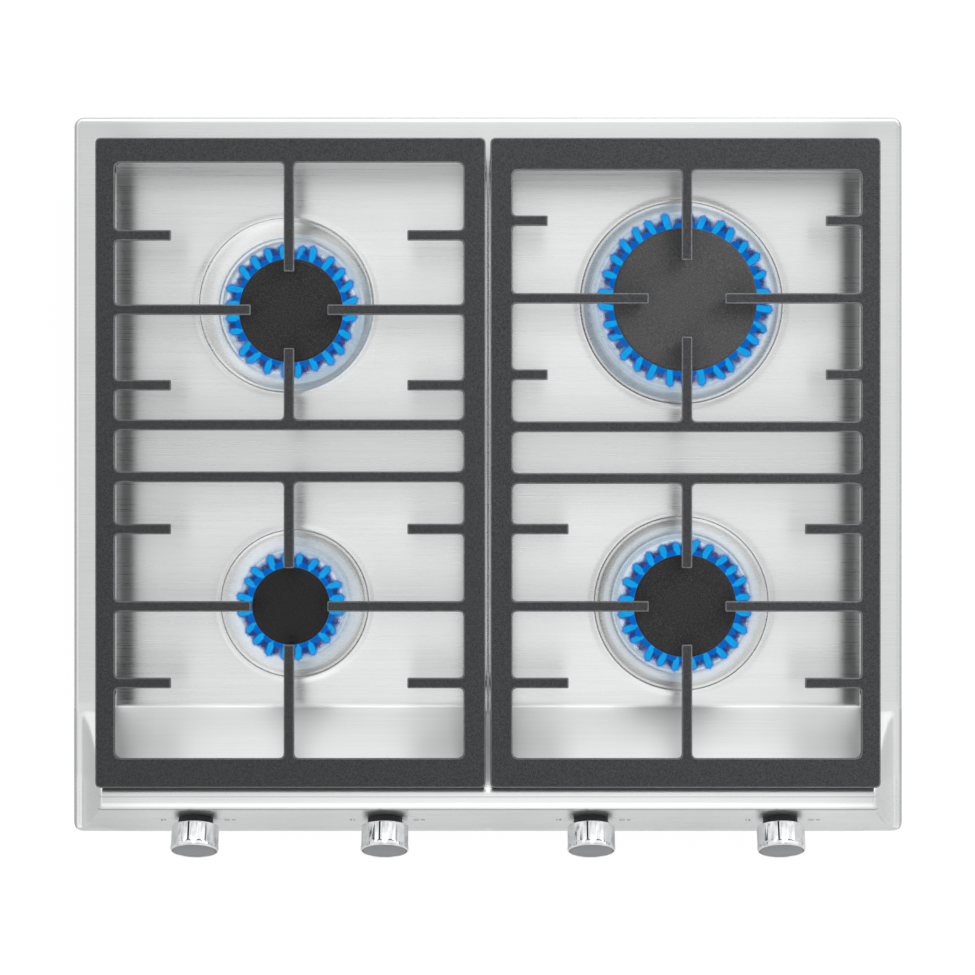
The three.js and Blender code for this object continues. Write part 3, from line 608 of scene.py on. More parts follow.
def plate_lines():
    """The grid's lines, closer where the sheet bends and with an even stretch across each patch."""
    half_x, half_y, corner = PLATE.half_x, PLATE.half_y, PLATE.corner
    left, right = patch_columns("left"), patch_columns("right")
    front, rear = PATCH_ROWS["front"], PATCH_ROWS["rear"]
    xs = grid_lines(
        -half_x, (corner - half_x, 0.8), (-262, 1), (left[0], 6), (left[1], PATCH_STEP), (-8, 6),
        (8, 0.64), (right[0], 6), (right[1], PATCH_STEP), (262, 6), (half_x - corner, 1), (half_x, 0.8),
    )
    ys = grid_lines(
        -half_y, (corner - half_y, 0.8), (PANEL_HEAD - 3, 1.5), (PANEL_HEAD + 5, 0.4),
        (SLOPE.head - 3, 0.8), (SLOPE.head + 2.5, 0.4), (SLOPE.foot - 5, 1.5), (front[0], 0.6),
        (front[1], PATCH_STEP), (rear[0], 6), (rear[1], PATCH_STEP), (224, 4), (234, 0.5),
        (half_y - corner, 2), (half_y, 0.8),
    )
    return xs, ys


def round_corners(x, y):
    """Moves the corner squares' grid points onto the plate's rounded corners."""
    corner = PLATE.corner
    u = np.clip((np.abs(x) - (PLATE.half_x - corner)) / corner, 0, 1)
    v = np.clip((np.abs(y) - (PLATE.half_y - corner)) / corner, 0, 1)
    x = x - np.sign(x) * corner * u * (1 - np.sqrt(1 - v * v / 2))
    y = y - np.sign(y) * corner * v * (1 - np.sqrt(1 - u * u / 2))
    return x, y


def dish_profile(name):
    """The dish's (radius, height) rings from outside in: a low bead, the cone, a ledge and the seat."""
    outer, inner = DISHES[name]
    floor = TRAY.floor
    seat, ledge = floor - DISH.seat, floor - DISH.ledge
    well = inner - DISH.well
    lip = [
        (6.0, 0), (4.8, 0.04), (3.6, 0.2), (2.6, 0.42), (1.7, 0.58), (0.9, 0.6),
        (0.3, 0.5), (0, 0.2), (-0.3, 0.06), (-1.2, -0.02), (-2.0, -0.16), (-2.6, -0.36),
    ]
    rings = [(outer + dr, floor + dz) for dr, dz in lip]
    start_r, start_z = rings[-1]
    end_r, end_z = inner + 1.8, ledge + 0.75
    steps = 5
    for i in range(1, steps + 1):
        t = i / steps
        bow = 0.2 * sin(pi * t)
        rings.append((start_r + (end_r - start_r) * t, start_z + (end_z - start_z) * t - bow))
    rings += [
        (inner + 1.2, ledge + 0.62), (inner + 0.6, ledge + 0.55), (inner + 0.1, ledge + 0.3),
        (inner - 0.4, ledge + 0.05), (inner - 0.9, ledge), (well + 0.6, ledge),
        (well + 0.2, ledge - 0.15), (well, ledge - 0.5), (well, seat + 0.4), (well - 0.4, seat),
        (well - 3, seat), (HOLE[name], seat),
    ]
    return rings


def ring_centre(name, radius):
    """Where a dish's ring is centred: the lip may stand off the burner's axis, the hole never does."""
    outer, inner = DISHES[name]
    away_x, away_y = DISH_SHIFT.get(name, (0, 0))
    part = max(0, min(1, (radius - HOLE[name]) / (outer - HOLE[name])))
    place = CAP_PLACES[name]
    return place.x + away_x * part, place.y + away_y * part


def plate_grid():
    """The sheet's columns and rows, and its points row by row."""
    xs, ys = plate_lines()
    grid_x, grid_y = round_corners(*np.meshgrid(xs, ys))
    heights = plate_height(grid_x, grid_y)
    return xs, ys, list(zip(*(values.ravel().tolist() for values in (grid_x, grid_y, heights))))


def patch_cells(name, xs, ys):
    """The first and last column and row of the block that the grid leaves open for a dish."""
    end, side = name.split("_")

    def nearest(lines, value):
        return min(range(len(lines)), key=lambda i: abs(lines[i] - value))

    return (*(nearest(xs, x) for x in patch_columns(side)), *(nearest(ys, y) for y in PATCH_ROWS[end]))


def grid_loop(columns, left, right, front, rear):
    """The grid's points round a block of its cells."""
    cells = [(i, front) for i in range(left, right)] + [(right, i) for i in range(front, rear)]
    cells += [(i, rear) for i in range(right, left, -1)] + [(left, i) for i in range(rear, front, -1)]
    return [row * columns + column for column, row in cells]


def dish_patch(name, points, border):
    """Adds a dish's points inside its patch's border in the grid; returns the faces down to its hole."""
    rings = dish_profile(name)
    first = rings[0][0]
    lip_x, lip_y = ring_centre(name, first)
    spokes = [atan2(points[i][1] - lip_y, points[i][0] - lip_x) for i in border]
    edge = [points[i] for i in border]
    loops = [border]
    for part in BETWEEN_RINGS:
        ring = []
        for (x, y, z), angle in zip(edge, spokes):
            round_x = lip_x + first * cos(angle)
            round_y = lip_y + first * sin(angle)
            ring.append((x + (round_x - x) * part, y + (round_y - y) * part, z))
        loops.append(extend(points, ring))
    for radius, height in rings:
        x, y = ring_centre(name, radius)
        ring = [(x + radius * cos(angle), y + radius * sin(angle), height) for angle in spokes]
        loops.append(extend(points, ring))
    return strips(loops)


def top_plate():
    xs, ys, points = plate_grid()
    columns, rows = len(xs), len(ys)
    patches = {name: patch_cells(name, xs, ys) for name in BURNERS}
    faces = []
    for r in range(rows - 1):
        for c in range(columns - 1):
            if not any(a <= c < b and low <= r < high for a, b, low, high in patches.values()):
                i = r * columns + c
                faces.append((i, i + 1, i + columns + 1, i + columns))
    for name, cells in patches.items():
        faces += dish_patch(name, points, grid_loop(columns, *cells))
    border = grid_loop(columns, 0, columns - 1, 0, rows - 1)
    skirt = extend(points, [(points[i][0], points[i][1], HEM) for i in border])
    faces += flipped(stitch(border, skirt))

    plate = mesh_object("pressed_top", points, faces, STEEL, sharp=60)
    sheet = plate.modifiers.new("sheet", "SOLIDIFY")
    sheet.thickness = PLATE.sheet * MM
    sheet.offset = -1
    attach(plate, "root")
    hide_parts("top_plate")


# ---- the grates ----

CURVE_STEPS = 5  # on each rounded corner


def neighbours(corners):
    """Each corner (x, y, reach) as the point before it, its point, the point after it and its reach."""
    flat = [Vector(corner[:2]) for corner in corners]
    reaches = [corner[2] for corner in corners]
    return zip(flat[-1:] + flat[:-1], flat, flat[1:] + flat[:1], reaches)


def rounded_outline(corners):
    """An outline through corners (x, y, reach); reach is how far before the corner its curve starts."""
    outline = []
    for before, corner, after, reach in neighbours(corners):
        start = corner + (before - corner).normalized() * reach
        end = corner + (after - corner).normalized() * reach
        for step in range(CURVE_STEPS + 1):
            t = step / CURVE_STEPS
            outline.append(start * (1 - t) ** 2 + corner * 2 * t * (1 - t) + end * t * t)
    return outline


def rectangle(x0, x1, y0, y1, reach):
    return [(x0, y0, reach), (x1, y0, reach), (x1, y1, reach), (x0, y1, reach)]


def toothed_side(start, end, teeth):
    """One side of a window with teeth (distance along it, length) standing into it."""
    along = (end - start).normalized()
    inwards = Vector((-along.y, along.x))
    half = BAR.finger / 2

    def place(distance, depth, reach):
        return (*(start + along * distance + inwards * depth), reach)

    corners = [place(0, 0, WINDOW_CORNER)]
    for at, long in sorted(teeth):
        corners += [place(at - half, 0, ROOT_FILLET), place(at - half, long, TIP_ROUND)]
        corners += [place(at + half, long, TIP_ROUND), place(at + half, 0, ROOT_FILLET)]
    return corners


def burner_window(u0, u1, y0, y1, v, stubs, stub_long):
    """The window over one burner, with its four fingers, which meet at v, and its four stubs."""
    u = FINGER_U
    corners = [Vector(c) for c in ((u0, y0), (u1, y0), (u1, y1), (u0, y1))]

    def finger(edge, middle):
        return abs(edge - middle) - FINGER_REACH

    stub_teeth = [(at, stub_long) for at in stubs]
    teeth = (
        [(u - u0, finger(y0, v))],
        [(at - y0, long) for at, long in [(v, finger(u1, u)), *stub_teeth]],
        [(u1 - u, finger(y1, v))],
        [(y1 - at, long) for at, long in [(v, finger(u0, u)), *stub_teeth]],
    )
    sides = zip(corners, corners[1:] + corners[:1], teeth)
    return [corner for side in sides for corner in toothed_side(*side)]


def drawn_in(corners, inset):
    """The corners (x, y, reach) of an outline with every edge moved to its left by inset."""
    moved = []
    for before, corner, after, reach in neighbours(corners):
        arriving = (corner - before).normalized()
        leaving = (after - corner).normalized()
        shift = Vector((-arriving.y, arriving.x)) + Vector((-leaving.y, leaving.x))
        shift *= inset / (1 + arriving.dot(leaving))
        rounding = reach - inset * 0.45 * (1 if arriving.cross(leaving) > 0 else -1)
        moved.append((*(corner + shift), max(0.25, rounding)))
    return moved


CAST_LEVELS = (  # how far below their flat top the bars are drawn in, and by how much
    (0, 2.0), (0, 0.95), (0.18, 0.5), (0.55, 0.18), (1.1, 0.0), (11.1, 1.2), (11.8, 1.5),
    (12, 2.1), (12, 2.8),
)
EDGE_HIGHLIGHT_LEVELS = (1, 2, 3)  # the bands between levels that make up the rounded upper edge, which take the painted highlight
LEG_LEVELS = ((0, 1.35), (0.12, 1.08), (0.3, 1.0), (1, 1.0))  # how far down a leg, and how much it flares


def cast_frame(outlines, sign):
    """The flat frame of bars from its outer outline and its windows: points, faces and the edge faces
    that take a painted highlight.
    """
    points, faces, painted_highlight_faces, rings = [], [], [], []
    for down, inset in CAST_LEVELS:
        level = []
        for number, corners in enumerate(outlines):
            outline = rounded_outline(drawn_in(corners, inset if number == 0 else -inset))
            level.append(extend(points, [(sign * u, y, GRATE.top - down) for u, y in outline]))
        rings.append(level)
    for band, (upper, lower) in enumerate(zip(rings, rings[1:])):
        quads = [quad for high, low in zip(upper, lower) for quad in stitch(high, low)]
        if band in EDGE_HIGHLIGHT_LEVELS:
            painted_highlight_faces += range(len(faces), len(faces) + len(quads))
        faces += quads
    for level in (rings[0], rings[-1]):
        flat = [i for outline in level for i in outline]
        loops = [[Vector(points[i]) for i in outline] for outline in level]
        faces += [tuple(flat[i] for i in face) for face in geometry.tessellate_polygon(loops)]
    return points, faces, painted_highlight_faces


def leg_places():
    """Each leg's place under the bar, at its foot and along y, and the height that its foot stands on."""
    outer = (GRATE.outer - 7, LEG.outer_u, PLATE.rim)
    inner = (LEG.inner_u, LEG.inner_u, TRAY.floor)
    ends = (LEG.rear_y, LEG.front_y)
    return [(bar_u, foot_u, y, floor) for bar_u, foot_u, floor in (outer, inner) for y in ends]


def leg_parts(sign, bar_u, foot_u, y, floor):
    """A cast leg, square with rounded corners, drawn in from under the bar to its foot."""
    top = GRATE.top - GRATE.thick + 1
    low = floor + SEAT + FOOT_HIGH + SEAT
    half = LEG.wide / 2
    points, rings = [], []
    for t, flare in LEG_LEVELS:
        u = bar_u + (foot_u - bar_u) * t
        half_u = (half + (LEG.foot_r - half) * t) * flare
        half_y = half * flare
        z = top + (low - top) * t
        ring = []
        for angle in turns(16):
            c, s = cos(angle), sin(angle)
            swell = (abs(c) ** 5 + abs(s) ** 5) ** -0.2
            ring.append((sign * u + half_u * c * swell, y + half_y * s * swell, z))
        rings.append(extend(points, ring))
    return points, closed_tube(rings)


def grate(side):
    sign = -1 if side == "left" else 1
    u0, u1 = GRATE.inner + BAR.inner, GRATE.outer - BAR.outer
    half = BAR.cross / 2
    upper, lower = CROSS_BARS[side]
    rear_v, front_v = FINGER_Y[side]
    front, back = GRATE.front + BAR.front, GRATE.back - BACK_BAR[side]
    outlines = [
        rectangle(GRATE.inner, GRATE.outer, GRATE.front, GRATE.back, GRATE_CORNER),
        burner_window(u0, u1, upper + half, back, rear_v, *STUBS[side, "rear"]),
        rectangle(u0, u1, lower + half, upper - half, WINDOW_CORNER),
        burner_window(u0, u1, front, lower - half, front_v, *STUBS[side, "front"]),
    ]
    points, faces, painted_highlight_faces = cast_frame(outlines, sign)
    legs = (leg_parts(sign, *place) for place in leg_places())
    points, faces = join_parts((points, faces), *legs)
    piece = mesh_object(f"cast_grate_{side}", points, faces, IRON, sharp=50)
    face_outwards(piece)
    # the rounded upper edges take the paler iron, a painted highlight
    piece.data.materials.append(IRON_EDGE_HIGHLIGHT)
    for i in painted_highlight_faces:
        piece.data.polygons[i].material_index = 1
    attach(piece, f"grate_{side}")
    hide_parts(f"grate_{side}")


# ---- burners ----


def burner_cap(name):
    radius, place = CAP_RADII[name], CAP_PLACES[name]
    top, under, skirt = CAP.top, CAP.under, CAP.skirt
    brim, root = radius - CAP.edge, radius - CAP.inset
    outline = [
        (0, skirt), (root - 0.4, skirt), (root, skirt + 0.4), (root + 0.6, under), (radius - 0.5, under),
        (radius - 0.1, under + 0.25), (radius, under + 0.8), (radius, top - 4),
        (radius - 0.15, top - 3.1), (radius - 0.6, top - 2.2), (brim, top - 1.5), (brim - 1.6, top - 1.2),
        (brim - 2.2, top - 1.32), (brim - 2.8, top - 1.15), (radius * 0.75, top - 0.65),
        (radius * 0.5, top - 0.28), (radius * 0.25, top - 0.07), (0, top),
    ]
    piece = lathe(f"enamel_cap_{name}", outline, 96, upright(place.x, place.y), CAP_ENAMEL[name])
    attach(piece, f"burner_cap_{name}")
    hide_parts(f"burner_cap_{name}")


CUP = Sizes(bottom=-36, inner=-32, wall=3, flange=3.2, lip=3)
INLET = Sizes(z=-28, radius=5, end=32.2)
INJECTOR = Sizes(foot=5, radius=3.5, high=9)
PROBE_INSET = 3.2  # from the cap's edge to a probe's middle


def burner_cup(name):
    """The cup in the plate's hole, its flange on the dish's seat and the gas inlet at its front."""
    place, ring = CAP_PLACES[name], DISHES[name][1]
    body, rim = HOLE[name] - 1, ring - CUP.lip
    floor = TRAY.floor - DISH.seat + SEAT
    top, bore = floor + CUP.flange, body - CUP.wall
    outline = [
        (0, CUP.bottom), (body - 0.8, CUP.bottom), (body, CUP.bottom + 0.8), (body, floor),
        (rim - 0.4, floor), (rim, floor + 0.4), (rim - 1.1, top - 0.5), (rim - 1.7, top - 0.05),
        (rim - 2.3, top), (bore + 0.5, top), (bore, top - 0.5), (bore, CUP.inner + 0.5),
        (bore - 0.5, CUP.inner), (INJECTOR.foot, CUP.inner),
        (INJECTOR.radius, CUP.inner + INJECTOR.high), (0, CUP.inner + INJECTOR.high),
    ]
    radius, end = INLET.radius, INLET.end
    spigot = [(0, bore + 0.5), (radius, bore + 0.5), (radius, end - 0.6), (radius - 0.6, end), (0, end)]

    def forwards(px, py, pz):
        return place.x + px, place.y - pz, INLET.z + py

    shell = lathe_parts(outline, 96, upright(place.x, place.y))
    pipe = lathe_parts(spigot, 24, forwards)
    cup = mesh_object(f"cast_cup_{name}", *join_parts(shell, pipe), CUP_METAL)
    face_outwards(cup)
    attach(cup, "root")
    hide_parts(f"burner_cup_{name}")


PROBES = {  # the angle round the cap, then each part's outline and material
    "spark_electrode": (135, (
        (((0, -20), (2, -20), (2, -1.9), (3.2, -1.9), (3.4, -1.6), (3.4, 0.8), (3.1, 1.2), (2, 2),
          (2, 21.5), (1.6, 22), (0.9, 22)), CERAMIC),
        (((0, 21.5), (0.9, 21.5), (0.9, 29.4), (0.5, 29.9), (0, 30)), PROBE_STEEL),
    )),
    "thermocouple": (-45, (
        (((0, -22), (2.2, -22), (2.2, -1.9), (3.4, -1.9), (3.6, -1.7), (3.6, 1), (3.4, 1.2),
          (2.2, 1.2)), BRASS),
        (((2.2, 1), (1.9, 8), (1.6, 16), (1.6, 27), (1.3, 28.2), (0.7, 28.9), (0, 29)), PROBE_STEEL),
    )),
}


def probes(name):
    """The spark electrode and the thermocouple under the cap's overhang."""
    place, reach = CAP_PLACES[name], CAP_RADII[name] - PROBE_INSET
    for kind, (angle, parts) in PROBES.items():
        turn = radians(angle)
        foot = upright(place.x + reach * cos(turn), place.y + reach * sin(turn))
        for number, (outline, material) in enumerate(parts):
            piece = lathe(f"{kind}_part{number + 1}_{name}", outline, 24, foot, material)
            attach(piece, "root")
            if number == 0:
                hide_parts(f"{kind}_{name}")


FLAMES = {"rear_left": 24, "front_left": 20, "rear_right": 30, "front_right": 24}
FLAME = Sizes(start=-7.5, reach=10.6, low=29.5, rise=8.0, wide=2.85, thick=2.3)
FLAME_SHELLS = (  # name, which tongues it clothes, growth in mm, colour, opacity
    ("core", "long", -0.7, (0.0, 0.6, 1.04), 1.0),
    ("coat", "long", 0.0, (0.0, 0.15, 0.62), 0.34),
    ("haze", "long", 0.8, (0.0, 0.12, 0.66), 0.13),
    ("mist", "long", 1.6, (0.02, 0.14, 0.7), 0.06),
    ("veil", "long", 2.6, (0.1, 0.4, 1.0), 0.035),
    ("web", "short", 0.0, (0.0, 0.14, 0.6), 0.9),
    # painted shade: dark sheets in the gaps between the tongues, where the burner head lies in shade
    ("gap", "gaps", -0.3, (0.004, 0.02, 0.14), 0.45),
    ("dusk", "gaps", 0.8, (0.03, 0.06, 0.28), 0.22),
    ("shade", "gaps", 2.0, (0.12, 0.13, 0.34), 0.1),
)
TONGUE_SIZES = {"long": (1.0, 1.0), "short": (1.3, 0.7), "gaps": (0.85, 0.5)}  # width and thickness
PAINTED_GLOW_RINGS = ((5.5, 8.5, 1.0, 0.2), (7, 13, 1.5, 0.14))  # painted glow of the flames' light, rings low over the dish round each cap: beyond the cap, half sizes, opacity
PAINTED_GLOW_HEIGHT = 6.5
FLAME_STEPS = 12  # rings along a tongue
PAINTED_GLOW_COLOR = (0.66, 0.84, 1.0)
FLAME_MATERIALS = {shell: glow(f"flame_{shell}", *look) for shell, _, _, *look in FLAME_SHELLS}
PAINTED_GLOW_MATERIALS = [glow(f"painted_flame_glow{i + 1}", PAINTED_GLOW_COLOR, ring[3]) for i, ring in enumerate(PAINTED_GLOW_RINGS)]


def flame_parts(place, radius, angle, reach, lean, growth, size):
    """One tongue: it leaves its port under the cap, keeps its width, turns up and ends round."""
    wide, thick = FLAME.wide * size[0] + growth, FLAME.thick * size[1] + growth
    length = reach + growth - FLAME.start
    points, rings = [], []
    for i in range(FLAME_STEPS + 1):
        t = i / FLAME_STEPS
        out = radius + FLAME.start + length * t
        round_off = max(0.0, 1 - length * (1 - t) / wide)
        swell = (0.72 + 0.28 * min(1, t / 0.6)) * sqrt(max(0.0004, 1 - round_off**2))
        z = FLAME.low + FLAME.rise * t * t
        side = lean * max(0, t - 0.35) ** 1.5
        ring = []
        for turn in turns(10):
            across = wide * swell * cos(turn) + side
            x = place.x + out * cos(angle) - across * sin(angle)
            y = place.y + out * sin(angle) + across * cos(angle)
            ring.append((x, y, z + thick * swell * sin(turn)))
        rings.append(extend(points, ring))
    return points, closed_tube(rings)


def tongues_of(name):
    """Each kind's tongues as (angle, reach, lean), drawn port by port."""
    draw = random.Random(f"flames {name}")
    tongues = {kind: [] for kind in TONGUE_SIZES}
    count = FLAMES[name]
    for i in range(count):
        angle = 2 * pi * (i + 0.5) / count + draw.uniform(-0.02, 0.02)
        reach = FLAME.reach + draw.uniform(-1.3, 1.2)
        tongues["long"].append((angle, reach, draw.uniform(-5.5, 5.5)))
        between = angle + pi / count
        tongues["short"].append((between, 4.0 + draw.uniform(-0.5, 0.5), 0))
        tongues["gaps"].append((between, 8.0 + draw.uniform(-1.4, 1), draw.uniform(-1, 1)))
    return tongues


def flames(name):
    place, radius = CAP_PLACES[name], CAP_RADII[name]
    tongues = tongues_of(name)
    for shell, kind, growth, *_ in FLAME_SHELLS:
        size = TONGUE_SIZES[kind]
        parts = [flame_parts(place, radius, *tongue, growth, size) for tongue in tongues[kind]]
        glowing_piece(f"flame_{shell}_{name}", join_parts(*parts), FLAME_MATERIALS[shell], name)
    # painted glow: the flames' light as pale rings low over the dish
    for number, (out, half_w, half_h, _) in enumerate(PAINTED_GLOW_RINGS):
        middle, section = radius + out, [*turns(16), 2 * pi]
        outline = [(middle + half_w * cos(a), PAINTED_GLOW_HEIGHT + half_h * sin(a)) for a in section]
        parts = lathe_parts(outline, 64, upright(place.x, place.y))
        glowing_piece(f"painted_flame_glow{number + 1}_{name}", parts, PAINTED_GLOW_MATERIALS[number], name)


def glowing_piece(piece_name, parts, material, name):
    piece = mesh_object(piece_name, *parts, material, sharp=180)
    piece.visible_shadow = False
    piece.visible_glossy = False
    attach(piece, f"burner_head_{name}")


# ---- knobs ----

FACET_START = radians(90 + 22)  # one rib stands this far round from the knob's upper side
POINTER_ANGLE = radians(90 + 11)


def knob_radius(angle):
    """The barrel's radius at an angle: flats between ribs that lie on the full radius."""
    pitch = 2 * pi / KNOB_FACETS
    offset = (angle - FACET_START) % pitch - pitch / 2
    return KNOB.radius * cos(pitch / 2) / cos(offset)


def barrel_parts(place):
    """The knob's outer barrel with its flats and its front ring; the back opens on a recess."""
    radius, back, front = KNOB.radius, KNOB.back, KNOB.front
    levels = [  # height, radius and how flat the facets are
        (back, radius - 0.5, 0), (back + 0.5, radius - 0.05, 0.4), (back + 1.2, radius, 1),
        (KNOB_COLLAR - 0.7, radius, 1), (KNOB_COLLAR, radius, 0.5), (KNOB_COLLAR + 0.4, radius, 0),
        (front - 1.3, radius, 0), (front - 0.5, radius - 0.25, 0), (front, radius - 0.8, 0),
    ]
    points, rings = [], []
    for z, r, flat in levels:
        ring = []
        for angle in turns(KNOB_FACETS * 8):
            reach = r * (1 - flat + flat * (knob_radius(angle) / radius))
            ring.append(place(reach * cos(angle), reach * sin(angle), z))
        rings.append(extend(points, ring))
    return points, strips(rings)


def knob(name):
    place = on_panel(TAP_X[name])
    radius, back, front = KNOB.radius, KNOB.back, KNOB.front
    face = [
        (radius - 0.8, front), (radius - 1.1, front - 0.05), (radius - 1.3, front - 0.5),
        (15.2, front - 0.6),
    ]
    inside = [
        (0, STEM.end), (STEM.radius - 0.4, STEM.end), (STEM.radius, STEM.end + 0.4),
        (STEM.radius, KNOB.recess_top), (KNOB.recess, KNOB.recess_top),
        (KNOB.recess, back + 0.3), (KNOB.recess + 0.3, back), (radius - 0.5, back),
    ]
    rim = [(15.9, front - 0.75), (15.9, front - 0.35), (15.3, front - 0.3), (15.2, front - 0.6)]
    disc = [(15.25, front - 0.62), (15.1, front - 0.25), (14.8, front - 0.15), (0, front - 0.1)]
    around = KNOB_FACETS * 8
    front_ring = lathe_parts(face, around, place)
    shell = join_parts(lathe_parts(inside, around, place), barrel_parts(place), front_ring)
    body = mesh_object(f"chrome_knob_{name}", *shell, CHROME, sharp=12)
    weld(body)
    pieces = [
        body,
        lathe(f"knob_rim_{name}", rim, 96, place, POINTER),
        lathe(f"knob_disc_{name}", disc, 96, place, FACE_METAL),
        pointer(name, place),
    ]
    for piece in pieces:
        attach(piece, f"knob_{name}")
    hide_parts(f"knob_{name}")


def pointer(name, place):
    """The black line inlaid along the barrel, narrower towards its end at the front ring."""
    half, proud, deep = 0.7, 0.15, 1.2
    back, front = KNOB.back + 0.2, KNOB_COLLAR
    turn = Matrix.Rotation(POINTER_ANGLE, 3, "Z")
    reach = knob_radius(POINTER_ANGLE) + proud
    sections = ((back, half), (front - 1, half * 0.8), (front, half * 0.5))
    corners = [(r, s * w, z) for z, w in sections for s in (-1, 1) for r in (reach - deep, reach)]
    points = [place(*(turn @ Vector(corner))) for corner in corners]
    faces = [[0, 1, 3, 2], [8, 10, 11, 9]]
    for a in (0, 4):
        b = a + 4
        faces += [[a, b, b + 1, a + 1], [a + 1, b + 1, b + 3, a + 3]]
        faces += [[a + 3, b + 3, b + 2, a + 2], [a + 2, b + 2, b, a]]
    return mesh_object(f"knob_pointer_{name}", points, faces, POINTER, sharp=30)


def knob_seal(name):
    place = on_panel(TAP_X[name])
    waist, radius, inner, top = KNOB_SEAL.waist, KNOB_SEAL.radius, KNOB_SEAL.inner, KNOB_SEAL.top
    outline = [
        (inner, 0.3), (waist, 0.3), (waist + 0.2, 0.6), (waist, 1.1), (waist + 0.5, 2.2),
        (radius - 0.3, top - 0.5), (radius, top - 0.2), (radius - 0.2, top), (inner, top), (inner, 0.3),
    ]
    seal = lathe(f"seal_ring_{name}", outline, 64, place, RUBBER)
    weld(seal)
    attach(seal, "root")
    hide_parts(f"knob_seal_{name}")


MARK = Sizes(y=-1.2, left=-24, right=22, pitch=2.3, dot=0.55, high=0.12)


def panel_marks(name):
    """Printed beside each knob: a map of the four burners on its left, two rings on its right."""
    place = on_panel(TAP_X[name])
    parts = []
    for burner in BURNERS:
        end, side = burner.split("_")
        x = MARK.left + (MARK.pitch if side == "right" else 0)
        y = MARK.y + (MARK.pitch if end == "rear" else 0)
        r = MARK.dot * (1.7 if burner == name else 1)
        parts.append(lathe_parts([(r, 0), (r, MARK.high), (0, MARK.high)], 16, shifted(place, x, y)))
    for step, r in ((0, 1.9), (4.8, 1.3)):
        outline = [(r, 0), (r, MARK.high), (r - 0.4, MARK.high), (r - 0.4, 0)]
        centre = shifted(place, MARK.right + step, MARK.y + MARK.pitch / 2)
        parts.append(lathe_parts(outline, 20, centre))
    marks = mesh_object(f"panel_marks_{name}", *join_parts(*parts), INK)
    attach(marks, "root")


# ---- the frame's own pieces ----


NODE_PAINT = (  # a material, and how the names of its nodes begin
    (ALUMINIUM, ("burner_head_", "gas_tube_")),
    (BRASS, ("valve_body_", "valve_plug_")),
    (GALVANISED, ("worktop_clamp_", "bottom_box", "gas_manifold")),
    (RUBBER, ("grate_foot_", "worktop_seal", "cable_gland")),
    (IVORY, ("spark_generator",)),
)


def paint_nodes():
    for name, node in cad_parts.items():
        for material, starts in NODE_PAINT:
            if name.startswith(starts):
                node.data.materials.clear()
                node.data.materials.append(material)


# ---- studio ----

CAMERA_HIGH = 1900  # above the worktop
PHOTO_WIDE = 975
PHOTO_MM = 0.7156  # millimetres per pixel at the worktop
NADIR = (488.5, 470.0)  # the pixel straight under the camera
PLATE_PIXEL = (488.0, 474.2)  # the pixel of the plate's middle
AMBIENT = 0.62  # how strongly the world lights what isn't metal
LAMP_AIM = (0, 0, 0.05)
FLOOR_HALF, FLOOR_LOW = 6.0, -0.0003  # metres
FLOOR_WHITENESS = 0.88  # the share of its look to the camera that is plain white
OVERHEAD = (  # the studio's brightness from left to right
    (0.0, 0.85), (0.2, 0.78), (0.33, 0.68), (0.41, 0.77), (0.47, 0.97), (0.5, 1.02),
    (0.55, 1.06), (0.585, 0.99), (0.61, 0.8), (0.7, 0.82), (1.0, 1.15),
)
REAR = (  # and from front to rear
    (0.0, 1.12), (0.2, 1.14), (0.32, 1.3), (0.37, 1.15), (0.41, 0.93), (0.5, 0.96),
    (0.6, 0.97), (0.64, 1.2), (0.69, 1.4), (0.76, 1.05), (0.96, 3.0),
)
FRONT_LEFT = ((0.0, 1.5), (0.5, 1.0), (1.0, 0.9))
LOW_SKY = ((0.0, 0), (0.3, 0.15), (0.55, 1), (0.9, 1), (0.985, 0))  # how much of that shows, by height


def studio_camera():
    camera = bpy.data.cameras.new("camera")
    camera.sensor_width = 36
    camera.lens = camera.sensor_width * CAMERA_HIGH / (PHOTO_WIDE * PHOTO_MM)
    camera.shift_x = (PHOTO_WIDE / 2 - NADIR[0]) / PHOTO_WIDE
    camera.shift_y = -(PHOTO_WIDE / 2 - NADIR[1]) / PHOTO_WIDE
    camera.clip_end = 20
    holder = put_in_scene("camera", camera)
    x = (NADIR[0] - PLATE_PIXEL[0]) * PHOTO_MM
    y = (PLATE_PIXEL[1] - NADIR[1]) * PHOTO_MM
    holder.location = to_row(x, y, CAMERA_HIGH)
    bpy.context.scene.camera = holder


def studio_glow(tree):
    """The studio that metal sees: bands overhead and at the rear, and brighter to the front left."""
    toward = add(tree, "TexCoord").outputs["Generated"]
    parts = add(tree, "SeparateXYZ", {"Vector": toward}).outputs
    overhead = ramp(tree, spread(tree, parts["X"], 0, 1, -0.8, 0.8), OVERHEAD)
    diagonal = maths(tree, "ADD", parts["X"], parts["Y"])
    side = ramp(tree, spread(tree, diagonal, 0, 1, -0.9, 0.9), FRONT_LEFT)
    rear = ramp(tree, spread(tree, parts["Y"], 0, 1, -1, 1), REAR)
    horizon = spread(tree, parts["Z"], 0.78, 1.0, 0.0, 0.4)
    side = masked(tree, ramp(tree, parts["Z"], LOW_SKY), side)
    return multiplied(tree, overhead, side, multiplied(tree, rear, horizon))


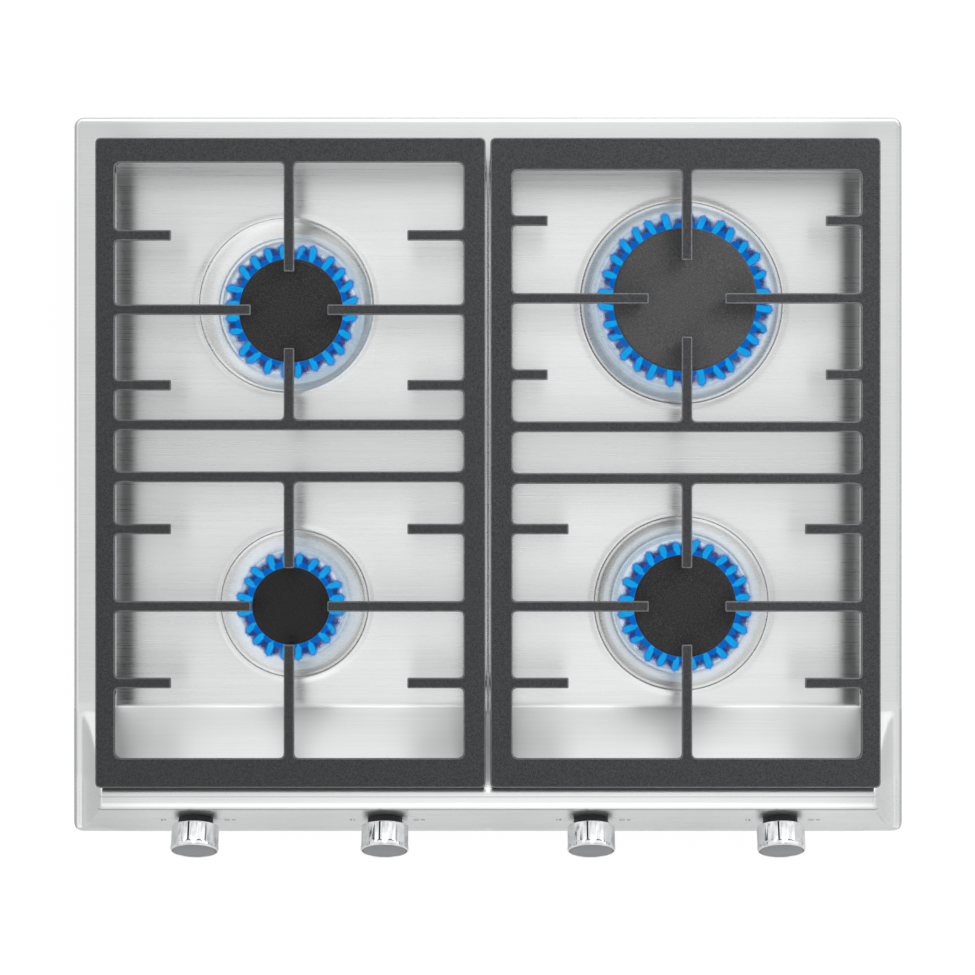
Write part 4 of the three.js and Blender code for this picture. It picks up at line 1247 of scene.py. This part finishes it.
def studio_world():
    """Lights the object evenly; the camera sees plain white, and metal sees the studio."""
    world = bpy.data.worlds.new("studio")
    bpy.context.scene.world = world
    world.use_nodes = True
    tree = world.node_tree
    tree.nodes.clear()

    def background(color, strength):
        return add(tree, "Background", {"Color": color, "Strength": strength}).outputs[0]

    path = add(tree, "LightPath").outputs
    plain, studio = background(WHITE, AMBIENT), background(studio_glow(tree), 1.0)
    lit = mixed_shaders(tree, path["Is Glossy Ray"], plain, studio)
    seen = mixed_shaders(tree, path["Is Camera Ray"], lit, background(WHITE, 1.0))
    add(tree, "OutputWorld", {"Surface": seen})


def area_light(name, place, size, power):
    """A round lamp aimed at the object's middle; place and size are in metres."""
    light = bpy.data.lights.new(name, "AREA")
    light.shape = "DISK"
    light.size = size
    light.energy = power
    holder = put_in_scene(name, light)
    holder.visible_glossy = False
    holder.location = place
    holder.rotation_euler = (Vector(LAMP_AIM) - Vector(place)).to_track_quat("-Z", "Y").to_euler()


def studio_lights():
    area_light("key", (1.3, 1.2, 1.5), 1.2, 26)
    area_light("fill", (-0.5, -1.9, 1.4), 1.4, 16)


def studio_floor():
    """A pale floor that takes the object's shadow, and to the camera is almost as white as the world."""
    mesh = bpy.data.meshes.new("floor")
    signs = ((-1, -1), (1, -1), (1, 1), (-1, 1))
    corners = [(x * FLOOR_HALF, y * FLOOR_HALF, FLOOR_LOW) for x, y in signs]
    mesh.from_pydata(corners, [], [(0, 1, 2, 3)])
    material, tree = new_material("floor")
    finished(material, Base_Color=(0.86, 0.86, 0.86, 1), Roughness=0.9)
    path = add(tree, "LightPath").outputs
    white = add(tree, "Emission", {"Color": WHITE, "Strength": 1.06}).outputs[0]
    share = maths(tree, "MULTIPLY", path["Is Camera Ray"], FLOOR_WHITENESS)
    seen = mixed_shaders(tree, share, tree.nodes["Principled BSDF"].outputs[0], white)
    feed(tree, tree.nodes["Material Output"], {"Surface": seen})
    mesh.materials.append(material)
    put_in_scene("floor", mesh)


# ---- assembly ----

studio_camera()
studio_world()
studio_lights()
studio_floor()
bpy.context.scene.view_settings.view_transform = "Standard"

top_plate()
for side in SIDES:
    grate(side)
for burner in BURNERS:
    burner_cap(burner)
    burner_cup(burner)
    probes(burner)
    flames(burner)
    knob(burner)
    knob_seal(burner)
    panel_marks(burner)
paint_nodes()
